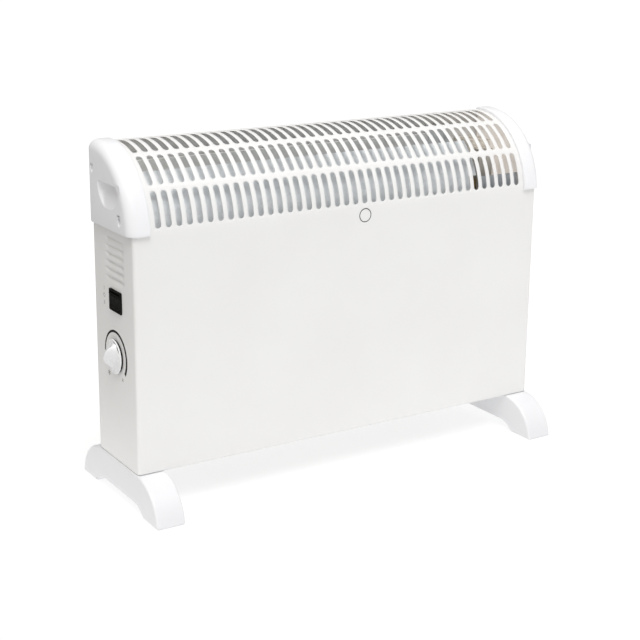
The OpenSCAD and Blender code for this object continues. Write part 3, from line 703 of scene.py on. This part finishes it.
def grip_depth(y, z):
    """Depth of the hand recess: a ramp, deepest under its straight upper edge."""
    ramp = (z - (GRIP_Z - GRIP_R)) * GRIP_DEPTH / GRIP_R
    from_centre = np.hypot(y - GRIP_Y, np.minimum(z - GRIP_Z, 0))
    side = 1.5 * (GRIP_R + 0.5 - from_centre)
    top = 7 * (GRIP_Z + 1.2 - z)
    depth = smooth_min(smooth_min(ramp, side, 1.6), top, 1.8)
    rolled = 1 - np.clip(abs(depth) / GRIP_LIP, 0, 1)
    return smooth_max(depth, 0 * depth, GRIP_LIP) - GRIP_LIP / 4 * (depth > -GRIP_LIP) * rolled


def screw_depth(y, z):
    """Depth of a screw recess: a round well with a ramp below it."""
    well = 22 * (3.3 - np.hypot(y, z))
    side = 3.0 * (3.1 - np.hypot(y, np.maximum(np.maximum(-z - 4.3, z), 0)))
    ramp = smooth_min((z + 7.6) * 0.75, side, 0.8)
    return np.clip(np.maximum(well, ramp), 0, SCREW_RECESS)


def depth_patch(shape, ys, zs, depth):
    """A rectangle of the cap's side face, sunk by a depth function inside its border."""
    rows = []
    for z in zs:
        sunk = depth(np.array(ys), np.full(len(ys), z))
        sunk[[0, -1]] = 0
        if z in (zs[0], zs[-1]):
            sunk[:] = 0
        rows.append([(CAP_X - float(d), y, z) for y, d in zip(ys, sunk)])
    shape.grid(rows)


def rectangle(ys, zs):
    """The border of a patch, anticlockwise seen from +x."""
    border = [(y, zs[0]) for y in ys[:-1]] + [(ys[-1], z) for z in zs[:-1]]
    border += [(y, zs[-1]) for y in ys[:0:-1]] + [(ys[0], z) for z in zs[:0:-1]]
    return border


def cap_profile():
    """The cap's outline from the front lip over the curve to the back, with its normals."""
    first = math.degrees(math.asin((CAP_LIP_Z - ARC_Z) / CAP_R))
    profile = []
    for i, (c, s) in enumerate(turns(first, 90, 36)):
        normal = (-1, 0) if i == 0 else (-c, s)
        profile.append((ARC_Y - CAP_R * c, ARC_Z + CAP_R * s, *normal))
    corner_y = CAP_BACK - CAP_EDGE
    corner_z = ARC_Z + CAP_R - CAP_EDGE
    for c, s in turns(90, 0, 8):
        profile.append((corner_y + CAP_EDGE * c, corner_z + CAP_EDGE * s, c, s))
    return profile + [(CAP_BACK, z, 1, 0) for z in (310, 285, CAP_LIP_Z)]


def cap_band():
    """Section of the cap's band as (x, inset): rolled inner edge, flat, and round outer edge."""
    band = [(CAP_IN_X, CAP_STAND_OFF)]
    for c, s in turns(0, 90, 3):
        band.append((CAP_IN_X + CAP_INNER_R - CAP_INNER_R * c, CAP_INNER_R - CAP_INNER_R * s))
    band.append((CAP_IN_X + 8, 0))
    for c, s in turns(0, 90, 10):
        band.append((CAP_X - CAP_EDGE + CAP_EDGE * s, CAP_EDGE * (1 - c)))
    return band


def cap_face(shape, profile):
    """The flat side face with its hand recess and screw wells; returns its lower edge."""
    face = [(y - ny * CAP_EDGE, z - nz * CAP_EDGE) for y, z, ny, nz in profile]
    base_y = steps(face[-1][0], face[0][0], 12)
    outline = face + [(y, CAP_LIP_Z) for y in base_y[1:-1]]
    outline = [p for i, p in enumerate(outline) if math.dist(p, outline[i - 1]) > 0.01]
    grip_ys = steps(GRIP_Y - 28, GRIP_Y + 28, 84)
    grip_zs = steps(GRIP_Z - 28, GRIP_Z + 4, 54)
    holes = [rectangle(grip_ys, grip_zs)]
    depth_patch(shape, grip_ys, grip_zs, grip_depth)
    for sy, sz in CAP_SCREWS:
        ys = steps(sy - 4.5, sy + 4.5, 30)
        zs = steps(sz - 9, sz + 4.5, 44)
        holes.append(rectangle(ys, zs))
        depth_patch(shape, ys, zs, lambda y, z, sy=sy, sz=sz: screw_depth(y - sy, z - sz))
    points, triangles = flat_region(outline, holes)
    shape.patch([(CAP_X, y, z) for y, z in points], triangles)
    return base_y


def cap_rim(shape, band, front_y, base_y):
    """The rounded lip along the cap's lower edge and the wall that turns up inside it."""
    edge = turns(0, 90, 10)
    flat, curve = band[:6], band[6:]
    rim = [(x, front_y + d, 0, -1) for x, d in flat]
    rim += [(x, front_y + d, s, -c) for (x, d), (c, s) in zip(curve, edge)]
    rim += [(CAP_X, y, 1, 0) for y in reversed(base_y[1:-1])]
    rim += [(x, CAP_BACK - d, s, c) for (x, d), (c, s) in zip(reversed(curve), reversed(edge))]
    rim += [(x, CAP_BACK - d, 0, 1) for x, d in reversed(flat)]
    rows = []
    for c, s in turns(0, 90, 3):
        inset = CAP_LIP * (1 - c)
        rows.append([(x - nx * inset, y - ny * inset, CAP_LIP_Z - CAP_LIP * s) for x, y, nx, ny in rim])
    for z in (CAP_Z, CAP_Z + 8):
        rows.append([(x - nx * CAP_WALL, y - ny * CAP_WALL, z) for x, y, nx, ny in rim])
    shape.grid(rows, flip=True)


def cap_shape():
    """The right-hand cap."""
    shape = Shape()
    profile = cap_profile()
    band = cap_band()
    shape.grid([[(x, y - ny * d, z - nz * d) for x, d in band] for y, z, ny, nz in profile])
    base_y = cap_face(shape, profile)
    cap_rim(shape, band, profile[0][0], base_y)
    return shape


def end_caps():
    right = cap_shape()
    for side, shape in (("right", right), ("left", right.mirrored())):
        piece = crisp(shape.build(f"{side}_cap_shell", ABS, "casing"), 48)
        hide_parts(f"{side}_end_cap")


# ---- feet

foot_low, foot_high = casing("right_foot")
FOOT_IN_X = foot_low.x
FOOT_OUT_X = foot_high.x
FOOT_TOP = -0.7
FOOT_EDGE_R = 2.8
PAD_HALF_Y = 39
TOE_R = 48.5
TOE_Y = foot_high.y + 0.3 - TOE_R
SOLE_Z = -FLOOR_TO_CASING
ARCH_H = 10
ARCH_FLAT = 38
ARCH_HALF = 60


def foot_outline():
    """Side outline of a foot, anticlockwise seen from +x."""
    arch_r = ((ARCH_HALF - ARCH_FLAT) ** 2 + ARCH_H ** 2) / (2 * ARCH_H)
    arch_z = SOLE_Z + ARCH_H - arch_r
    arch_end = math.degrees(math.asin((SOLE_Z - arch_z) / arch_r))
    toe_z = FOOT_TOP - TOE_R
    toe_end = math.degrees(math.asin((SOLE_Z - toe_z) / TOE_R))
    outline = arc_points(ARCH_FLAT, arch_z, arch_r, 90, arch_end, 8)
    outline += arc_points(TOE_Y, toe_z, TOE_R, toe_end, 90, 24)
    outline += [(-y, z) for y, z in reversed(outline)]
    return outline


def feet():
    """Each foot is a moulding with a low pad on which the casing stands."""
    for side, sign in (("right", 1), ("left", -1)):
        shape = Shape()
        low, high = sorted((sign * FOOT_IN_X, sign * FOOT_OUT_X))
        shape.prism(foot_outline(), low, high)
        shell = soften(shape.build(f"{side}_foot_shell", SHADED_FOOT_ABS, "casing"), FOOT_EDGE_R, 4, 30)
        pad = Shape()
        low, high = sorted((sign * (FOOT_IN_X + 4), sign * (HALF_W - 4.8)))
        pad.box((low, -PAD_HALF_Y, FOOT_TOP - 0.6), (high, PAD_HALF_Y, 0))
        rest = soften(pad.build(f"{side}_foot_pad", SHADED_FOOT_ABS, "casing"), 0.5, 2)
        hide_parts(f"{side}_foot")


# ---- thermostat knob and printed marks

KNOB_RIM = 3.5
KNOB_CROWN = 1.1
KNOB_EDGE_R = 1.2
KNOB_BASE = 2.3
FIN_FOOT = 11
FIN_RISE = 5.5
FIN_UP = 12.3
FIN_DOWN = 19


def knob_height(u, v):
    """Height of the knob's face: a shallow dome with a half-round grip fin across it."""
    dome = KNOB_RIM + KNOB_CROWN * (1 - (u * u + v * v) / KNOB_R ** 2)
    along = v - FIN_RISE
    share = along / np.where(along > 0, FIN_UP, FIN_DOWN)
    ridge = KNOB_REACH * np.sqrt(np.maximum(1 - share ** 2, 0))
    spread = np.clip((np.abs(u) - 0.5) / FIN_FOOT, 0, 1)
    return dome + np.maximum(ridge - dome, 0) * (1 - spread) ** 2.6


def knob():
    face_r = KNOB_R - 1.4
    centre = (-HALF_W, 0, DIAL_Z)
    fine = steps(0, 3, 20) + steps(3, 8, 18)[1:] + steps(8, face_r, 14)[1:]
    us = [-u for u in reversed(fine[1:])] + fine
    ts = [math.sin(a) for a in steps(-math.pi / 2, math.pi / 2, 90)]
    shape = Shape()
    rows = []
    border = []
    for u in us:
        span = math.sqrt(max(face_r ** 2 - u * u, 0))
        v = np.array([span * t for t in ts])
        height = knob_height(np.full(len(v), u), v)
        rows.append([(-float(h), u, float(w)) for h, w in zip(height, v)])
        border += [(u, span), (u, -span)]
    shape.grid(rows)
    angles = sorted({round(math.atan2(v, u), 7) for u, v in border})
    rim_z = KNOB_RIM + KNOB_CROWN * (1 - (face_r / KNOB_R) ** 2)
    profile = [(face_r, rim_z)]
    for c, s in turns(75, 0, 5):
        radius = KNOB_R - KNOB_EDGE_R + KNOB_EDGE_R * c
        profile.append((radius, rim_z - KNOB_EDGE_R - 0.05 + KNOB_EDGE_R * s))
    profile += [(KNOB_R, KNOB_BASE + 0.1), (KNOB_R - 0.2, KNOB_BASE), (6, KNOB_BASE)]
    side = [[(-h, r * math.cos(a), r * math.sin(a)) for a in angles] for r, h in profile]
    shape.grid(side, closed=True, flip=True)
    shape.turned(Matrix.Rotation(KNOB_ANGLE, 4, "X")).turned(Matrix.Translation(centre))
    piece = crisp(shape.build("dial_knob", KNOB, "thermostat_dial", weld=0.02), 60)
    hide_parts("thermostat_knob")

    # A black collar under the knob's disc: its black is painted shade for the gap under the disc.
    shadow_collar = Shape()
    shadow_collar_r = KNOB_R - 1.1
    profile = [(6, 2.35), (shadow_collar_r, 2.35), (shadow_collar_r, 0.3), (6, 0.3)]
    shadow_collar.lathe(profile, centre, (-1, 0, 0), 72)
    crisp(shadow_collar.build("dial_shadow_collar", BLACK, "thermostat_dial"))


PRINT_R = 26.8
PRINT_END = 214
ARC_BACK = 0.6
INK_UNDER = -0.05
INK_OVER = 0.06
FROST_AT = (18.8, 94.8)
WARM_AT = ((-15.5, 96.7), (-15.2, 95.0))
SWITCH_MARK_Y = 26
SWITCH_MARK_RISE = 8
FRONT_RING = (18, 249)


def on_dial(radius, angle, lift):
    """A point on the left wall; the angle runs clockwise from the back, seen from outside."""
    c, s = cos_sin(angle)
    return (-HALF_W - lift, ARC_BACK + radius * c, DIAL_Z + radius * s)


def printed(shape, name, ink):
    shape.build(name, ink, "casing")


def printed_arc():
    """The temperature arc, thin at its cool end and broad at its warm end."""
    rows = []
    for side, lift in ((-1, INK_UNDER), (-1, INK_OVER), (1, INK_OVER), (1, INK_UNDER)):
        rows.append([
            on_dial(PRINT_R + side * (1.0 + 0.9 * t), PRINT_END * t, lift) for t in steps(0, 1, 72)
        ])
    shape = Shape()
    shape.grid(rows + rows[:1])
    printed(shape, "temperature_arc", INK_BLACK)


def bar_mark(shape, cy, cz, length, width, angle):
    """A printed bar on the left wall, centred at cy, cz."""
    c, s = cos_sin(angle)
    along = Vector((0, c, s)) * length / 2
    across = Vector((0, -s, c)) * width / 2
    middle = Vector((-HALF_W - INK_OVER, cy, cz))
    top = [middle + along * i + across * j for i, j in ((1, 1), (1, -1), (-1, -1), (-1, 1))]
    low = [p + Vector((0.1, 0, 0)) for p in top]
    shape.grid([low, top], closed=True)
    shape.polygon(top)


def ring_mark(shape, place, inner, outer, sides, flip=False):
    """A printed ring; place turns (across, up, lift) into a point."""
    rows = []
    for r, lift in ((inner, INK_UNDER), (inner, INK_OVER), (outer, INK_OVER), (outer, INK_UNDER)):
        rows.append([place(r * c, r * s, lift) for c, s in circle(sides)])
    shape.grid(rows, closed=True, flip=flip)


def printed_marks():
    """Generic marks: a frost star and a warm dot at the dial, and 0, I and II at the switch."""
    star = Shape()
    cy, cz = FROST_AT
    for k in range(3):
        bar_mark(star, cy, cz, 6.4, 0.55, 90 + 60 * k)
    for k in range(6):
        c, s = cos_sin(30 + 60 * k)
        bar_mark(star, cy + 2.1 * c, cz + 2.1 * s, 1.3, 0.45, 30 + 60 * k + 90)
    printed(star, "frost_mark", INK_GREY)
    warm = Shape()
    for y, z in WARM_AT:
        bar_mark(warm, y, z, 3.6, 0.7, 20)
    printed(warm, "warm_mark", INK_GREY)

    def beside_switch(across, up, lift):
        return (-HALF_W - lift, SWITCH_MARK_Y + across, SWITCH_Z + up)

    switch = Shape()
    bar_mark(switch, SWITCH_MARK_Y, SWITCH_Z + SWITCH_MARK_RISE, 4.2, 0.5, 90)
    ring_mark(switch, beside_switch, 1.65, 2.15, 32)
    for side in (-0.8, 0.8):
        bar_mark(switch, SWITCH_MARK_Y + side, SWITCH_Z - SWITCH_MARK_RISE, 4.2, 0.5, 90)
    printed(switch, "switch_marks", INK_GREY)


def front_ring():
    """A plain printed ring below the grille, in place of the maker's sign."""
    cx, cz = FRONT_RING

    def on_panel(across, up, lift):
        return (cx + across, -HALF_D - lift, cz + up)

    shape = Shape()
    ring_mark(shape, on_panel, 7.0, 7.9, 64, flip=True)
    printed(shape, "front_ring_mark", INK_BLACK)


# ---- rocker switch

BEZEL_R = 1.6
BEZEL_EDGE_R = 0.9
ROCKER_HALF_Z = 7.9


def rounded_rectangle(width, height, radius, count=5):
    """(y, z) points and outward normals, anticlockwise seen from +x."""
    path = []
    for sy, sz, start in ((1, 1, 0), (-1, 1, 90), (-1, -1, 180), (1, -1, 270)):
        for c, s in turns(start, start + 90, count):
            y = sy * (width / 2 - radius) + radius * c
            z = sz * (height / 2 - radius) + radius * s
            path.append((y, z, c, s))
    return path


def switch_bezel():
    """The bezel on the left wall, swept round as (inset, lift), and the housing behind it."""
    profile = [(0.05, -0.3), (0, 0.9)]
    for c, s in turns(0, 90, 4)[1:]:
        profile.append((BEZEL_EDGE_R * (1 - c), 1.1 + BEZEL_EDGE_R * s))
    profile += [(1.9, 2.0), (2.2, 1.9), (2.35, 1.6), (2.4, -9)]
    path = rounded_rectangle(switch_high.y - switch_low.y, switch_high.z - switch_low.z, BEZEL_R)
    shape = Shape()
    shape.grid([
        [(-HALF_W - lift, SWITCH_Y + y - ny * inset, SWITCH_Z + z - nz * inset) for y, z, ny, nz in path]
        for inset, lift in profile
    ], closed=True, flip=True)
    low = (-HALF_W + 9, SWITCH_Y - 13.6, SWITCH_Z - 9.6)
    high = (-HALF_W + 26, SWITCH_Y + 13.6, SWITCH_Z + 9.6)
    shape.box(low, high)
    piece = crisp(shape.build("switch_bezel", BLACK, "casing"), 50)
    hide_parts("switch_housing")


def rocker_lift(y, z, half_y):
    """How far the rocker stands off the wall: a hollow face with grip ridges and round edges."""
    lift = 1.7 + 0.9 * (abs(z) / 7.3) ** 1.6 * 1.7
    if 4.4 < abs(z) < 7.1 and abs(y) < half_y - 1.6:
        lift += 0.22 * (1 + math.cos((abs(z) - 4.4) * 2 * math.pi / 0.9 + math.pi))
    edge = min(half_y - abs(y), ROCKER_HALF_Z - abs(z))
    if edge < 0.6:
        lift -= 0.6 - math.sqrt(max(0.36 - (0.6 - edge) ** 2, 0))
    return lift


def close_ended(half, inset, count):
    """Values from -half to half, closer together at both ends."""
    even = steps(-half + inset, half - inset, count)
    return [-half, -half + 0.15, -half + 0.5] + even + [half - 0.5, half - 0.15, half]


def switch_rocker():
    rocker_low, rocker_high = casing("switch_rocker")
    half_y = (rocker_high.y - rocker_low.y) / 2
    ys = close_ended(half_y, 1, 12)
    zs = close_ended(ROCKER_HALF_Z, 0.9, 84)

    def on_face(y, z):
        return (-HALF_W - rocker_lift(y, z, half_y), SWITCH_Y + y, SWITCH_Z + z)

    rocker = Shape()
    rocker.grid([[on_face(y, z) for y in ys] for z in zs], flip=True)
    skirt = rectangle(ys, zs)
    lower = [(-HALF_W + 3.5, SWITCH_Y + y, SWITCH_Z + z * 0.72) for y, z in skirt]
    rocker.grid([[on_face(y, z) for y, z in skirt], lower], closed=True)
    piece = crisp(rocker.build("rocker_paddle", BLACK, "rocker"), 55)
    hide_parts("switch_rocker")


# ---- screws

BACK_SCREW_X = 255
BACK_SCREW_Z = (18, 120, 222)
TOP_SCREW_X = (-230, 0, 230)
TOP_SCREW_DROP = 11
FOOT_SCREW_Y = 26


def head_height(u, v, share):
    """Height of a pan head, as a share of its own, with a cross recess along both axes."""
    top = 1 - 0.45 * share ** 2 - 0.5 * max(0, share - 0.86) / 0.14
    arm, reach = sorted((abs(u), abs(v)))
    if arm < 0.13 and reach < 0.62:
        top -= 0.6 * min(1, (0.13 - arm) / 0.05) * min(1, (0.62 - reach) / 0.2)
    return top


def screw_head(shape, centre, axis, radius, height):
    """A pan head as a fine polar height field."""
    centre = Vector(centre)
    along, across, third = directions(axis)
    rows = []
    for share in [0.001] + steps(0.12, 0.86, 9) + [0.93, 0.98, 1.0]:
        row = []
        for u, v in ((share * c, share * s) for c, s in circle(48)):
            top = height * head_height(u, v, share)
            row.append(centre + along * top + (across * u + third * v) * radius)
        rows.append(row)
    rows.append([centre + (across * c + third * s) * radius for c, s in circle(48)])
    shape.grid(rows, closed=True, flip=True)


def screws():
    groups = {"cap_screws": [], "back_screws": [], "foot_screws": []}
    for sign in (1, -1):
        for y, z in CAP_SCREWS:
            groups["cap_screws"].append(((sign * (CAP_X - SCREW_RECESS), y, z), (sign, 0, 0), 2.9, 1.8))
        for y in (-FOOT_SCREW_Y, FOOT_SCREW_Y):
            x = sign * (FOOT_IN_X + FOOT_OUT_X) / 2
            groups["foot_screws"].append(((x, y, SOLE_Z + ARCH_H), (0, 0, -1), 3.8, 1.6))
    back = [(x, z) for z in BACK_SCREW_Z for x in (-BACK_SCREW_X, BACK_SCREW_X)]
    for x, z in back + [(x, TOP_Z - TOP_SCREW_DROP) for x in TOP_SCREW_X]:
        groups["back_screws"].append(((x, HALF_D, z), (0, 1, 0), 3.0, 1.8))
    for node, places in groups.items():
        shape = Shape()
        for centre, axis, radius, height in places:
            screw_head(shape, centre, axis, radius, height)
        piece = crisp(shape.build(node + "_heads", SCREW_STEEL, "casing"), 40)
        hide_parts(node)


# ---- inside

COIL_TURNS = 74
WIRE_R = 0.38


def heating_coils():
    """Each coil is a close helix of resistance wire, run along the front and along the back."""
    for level in ("lower", "upper"):
        low, high = casing(f"{level}_heating_coil")
        z = (low.z + high.z) / 2
        run_y = high.y - (high.z - low.z) / 2
        coil_r = (high.z - low.z) / 2 - 0.4
        shape = Shape()
        for sign in (1, -1):
            path = []
            for i in range(COIL_TURNS * 10 + 1):
                a = 2 * math.pi * i / 10
                x = low.x + 2 + (high.x - low.x - 4) * i / (COIL_TURNS * 10)
                path.append((x, sign * run_y + coil_r * math.cos(a), z + coil_r * math.sin(a)))
            shape.tube(path, WIRE_R, 5)
        piece = shape.build(f"{level}_coil_wire", WIRE, "casing")
        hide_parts(f"{level}_heating_coil")


wheel_low, wheel_high = casing("fan_impeller")
WHEEL_T = wheel_high.x - wheel_low.x
FAN_Y = 5
FAN_Z = 262
HUB_R = 9
TIP_R = 30
BLADES = 7


def blade_point(share, t, side, turn):
    """A point of a blade: share runs from hub to tip, t along the chord, side picks the face."""
    radius = HUB_R - 0.8 + (TIP_R - HUB_R + 0.8) * share
    pitch = math.radians(48 - 22 * share)
    chord = (5.4 + 2.4 * share) * t
    off = 1.1 * (1 - t * t) + 0.55 * math.sqrt(max(1 - t * t, 0)) * side
    along_x = chord * math.cos(pitch) + off * math.sin(pitch)
    along_x = max(min(along_x, WHEEL_T / 2), -WHEEL_T / 2)
    a = turn + (chord * math.sin(pitch) - off * math.cos(pitch)) / radius + 0.25 * share ** 2
    x = (wheel_low.x + wheel_high.x) / 2 + along_x
    return (x, FAN_Y + radius * math.sin(a), FAN_Z + radius * math.cos(a))


def impeller():
    """Curved, twisted blades on a round hub."""
    shape = Shape()
    hub = [(2.1, WHEEL_T), (HUB_R - 2, WHEEL_T), (HUB_R - 0.6, WHEEL_T - 0.5), (HUB_R, WHEEL_T - 2)]
    hub += [(HUB_R, 0.4), (HUB_R - 0.5, 0), (2.1, 0)]
    shape.lathe(hub, (wheel_low.x, FAN_Y, FAN_Z), (1, 0, 0), 64)
    for k in range(BLADES):
        turn = 2 * math.pi * k / BLADES
        for side in (1, -1):
            rows = [
                [blade_point(share, t, side, turn) for t in steps(-1, 1, 10)]
                for share in steps(0, 1, 10)
            ]
            shape.grid(rows, flip=side > 0)
    piece = crisp(shape.build("fan_wheel", BLACK, "fan_rotor"), 50)
    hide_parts("fan_impeller")


LEAD_R = 1.1
TAB_X = -HALF_W + 36.6
BUSH_X = -212


def cubic(ends, count=28):
    """A smooth route from the first point to the last, drawn towards the two between."""
    a, b, c, d = (Vector(p) for p in ends)
    return [
        (1 - t) ** 3 * a + 3 * t * (1 - t) ** 2 * b + 3 * t * t * (1 - t) * c + t ** 3 * d
        for t in steps(0, 1, count)
    ]


def wiring():
    """Sleeved leads between the terminal block, the thermostat, the switch and the coils."""
    routes = [
        (((-250, 8, 9), (-250, 34, 12), (-222, 36, 90), (TAB_X, 2, 174)), SLEEVE_PALE),
        (((-230, 8, 9), (-222, 40, 20), (-216, 40, 120), (-226, 7, 146)), SLEEVE_BLUE),
        (((TAB_X, 2, 186), (-214, 4, 190), (-216, -20, 140), (BUSH_X, -13, 130)), SLEEVE_PALE),
        (((TAB_X, -12, 174), (-212, -16, 160), (-216, -24, 110), (BUSH_X, -13, 104)), SLEEVE_BLUE),
    ]
    for i, (ends, look) in enumerate(routes):
        shape = Shape()
        shape.tube(cubic(ends), LEAD_R, 12)
        piece = shape.build(f"lead_{i + 1}", look, "casing")
        if i == 0:
            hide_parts("internal_wires")


CAD_LOOKS = (
    (PAINT, ("back_panel", "base_grid")),
    (GLOWING_CAP_BACKING, ("left_cap_bracket", "right_cap_bracket")),
    (ZINC, ("front_shield", "compartment_wall", "fan_bulkhead", "element_rails", "motor_bracket")),
    (SHADED_ZINC, ("low_front_shield",)),
    (LIT_SHEET, ("rear_shield",)),
    (MICA, ("mica_boards",)),
    (CERAMIC, ("coil_terminals", "thermal_cutout", "thermostat_body", "terminal_block")),
    (BLACK, ("fan_guard", "cord_gland")),
    (LAMINATED, ("motor_stator",)),
    (WINDING, ("motor_coil",)),
    (BRASS, ("motor_bearings", "thermostat_spindle", "switch_terminals")),
    (DARK_STEEL, ("motor_rotor",)),
    (SCREW_STEEL, ("thermostat_screws", "motor_screws")),
)


def dress_cad_nodes():
    for material, nodes in CAD_LOOKS:
        for node in nodes:
            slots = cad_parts[node].data.materials
            slots.clear()
            slots.append(material)


# ---- floor, light and camera

FLOOR_SIZE = 12
FLOOR_GREY = 0.2
FLOOR_PALE = 0.3
FLOOR_DIM = 0.22
FLOOR_GLOW = 0.73
FLOOR_ACROSS = (1, -0.36, 0)
FLOOR_FADE = (-0.52, -0.38)
WALL_DARK = 0.0
WALL_BRIGHT = 0.22
WALL_FADE = (-0.6, 0.2)
CEILING = 0.36
CEILING_CENTRE = (0.3, -0.1, 0.95)
CEILING_FADE = (0.3, 0.8)
WINDOW = 0.78
WINDOW_CENTRE = (-0.8, -0.15, 0.6)
WINDOW_FADE = (0.5, 0.85)
WINDOW_COLOUR = (1, 0.965, 0.925, 1)
KEY_TOWARDS = (-0.1, -0.42, 0.9)
KEY_STRENGTH = 1.7
KEY_SPREAD = 35


def floor():
    """A light table, white under and before the heater and grey far to its left."""
    mesh = bpy.data.meshes.new("floor")
    ends = ((-1, -1), (1, -1), (1, 1), (-1, 1))
    mesh.from_pydata([(x * FLOOR_SIZE, y * FLOOR_SIZE, 0) for x, y in ends], [], [(0, 1, 2, 3)])
    look = Look("studio_floor", specular=0.1)
    across = look.node("ShaderNodeVectorMath", operation="DOT_PRODUCT")
    across.inputs[1].default_value = FLOOR_ACROSS
    look.link(look.coordinates, across.inputs[0])
    lit = look.spread(across.outputs["Value"], 0, 1, *FLOOR_FADE)
    look.tint(lit, (FLOOR_GREY,) * 3, (FLOOR_PALE,) * 3, 0, 1)
    look.rough(look.noise(1.5, 2), 0.66, 0.74)
    look.bump(look.noise(400, 2), 0.02, 0.2)
    look.shader.inputs["Emission Color"].default_value = (1, 1, 1, 1)
    look.link(look.spread(lit, FLOOR_DIM, FLOOR_GLOW, 0, 1), look.shader.inputs["Emission Strength"])
    mesh.materials.append(look.material)
    add_object("floor", mesh)


def key_light():
    """A broad, even lamp above and in front of the heater."""
    light = bpy.data.lights.new("key", "SUN")
    light.energy = KEY_STRENGTH
    light.angle = math.radians(KEY_SPREAD)
    lamp = add_object("key", light)
    lamp.rotation_euler = Vector(KEY_TOWARDS).to_track_quat("Z", "Y").to_euler()
    lamp.location = Vector(KEY_TOWARDS) * 3


def sky_lobe(tree, direction, centre, fade, strength):
    """Brightness round one direction of the sky."""
    facing = add_node(tree, "ShaderNodeVectorMath", operation="DOT_PRODUCT")
    facing.inputs[1].default_value = Vector(centre).normalized()
    tree.links.new(direction, facing.inputs[0])
    return map_range(tree, facing.outputs["Value"], fade, 0, strength, "SMOOTHSTEP")


def studio_light():
    """A plain room: walls darker towards -x, a bright ceiling, and a warm window at the upper left."""
    world = bpy.data.worlds.new("studio")
    world.use_nodes = True
    bpy.context.scene.world = world
    tree = world.node_tree
    link = tree.links.new
    direction = add_node(tree, "ShaderNodeTexCoord").outputs["Generated"]
    split = add_node(tree, "ShaderNodeSeparateXYZ")
    link(direction, split.inputs["Vector"])
    walls = map_range(tree, split.outputs["X"], WALL_FADE, WALL_DARK, WALL_BRIGHT, "SMOOTHSTEP")
    total = add_node(tree, "ShaderNodeMath", operation="ADD")
    link(walls, total.inputs[0])
    link(sky_lobe(tree, direction, CEILING_CENTRE, CEILING_FADE, CEILING), total.inputs[1])
    room = tree.nodes["Background"]
    room.inputs["Color"].default_value = (1, 1, 1, 1)
    link(total.outputs["Value"], room.inputs["Strength"])
    warm = add_node(tree, "ShaderNodeBackground", Color=WINDOW_COLOUR)
    window = sky_lobe(tree, direction, WINDOW_CENTRE, WINDOW_FADE, WINDOW)
    link(window, warm.inputs["Strength"])
    both = add_node(tree, "ShaderNodeAddShader")
    link(room.outputs["Background"], both.inputs[0])
    link(warm.outputs["Background"], both.inputs[1])
    link(both.outputs["Shader"], tree.nodes["World Output"].inputs["Surface"])
    key_light()


CAMERA_AZIMUTH = -32.412
CAMERA_ELEVATION = 14.905
CAMERA_ROLL = 0.587
CAMERA_LENS = 79.056
CAMERA_RISE = -0.0625
CAMERA_PLACE = (-838.4, -1305.7, 578.9)


def camera():
    az, el, roll = (math.radians(v) for v in (CAMERA_AZIMUTH, CAMERA_ELEVATION, CAMERA_ROLL))
    back = Vector((math.sin(az) * math.cos(el), -math.cos(az) * math.cos(el), math.sin(el)))
    right = Vector((0, 0, 1)).cross(back).normalized()
    up = back.cross(right)
    rolled_right = right * math.cos(roll) + up * math.sin(roll)
    rolled_up = up * math.cos(roll) - right * math.sin(roll)
    data = bpy.data.cameras.new("camera")
    data.lens = CAMERA_LENS
    data.sensor_width = 36
    data.shift_y = CAMERA_RISE
    data.clip_end = 100
    viewer = add_object("camera", data)
    turn = Matrix((rolled_right, rolled_up, back)).transposed().to_4x4()
    viewer.matrix_world = Matrix.Translation(in_frame(*CAMERA_PLACE)) @ turn
    bpy.context.scene.camera = viewer


camera()
studio_light()
floor()
bpy.context.scene.view_settings.view_transform = "Standard"
dress_cad_nodes()
casing_sheet()
end_caps()
feet()
knob()
printed_arc()
printed_marks()
front_ring()
switch_bezel()
switch_rocker()
screws()
heating_coils()
impeller()
wiring()
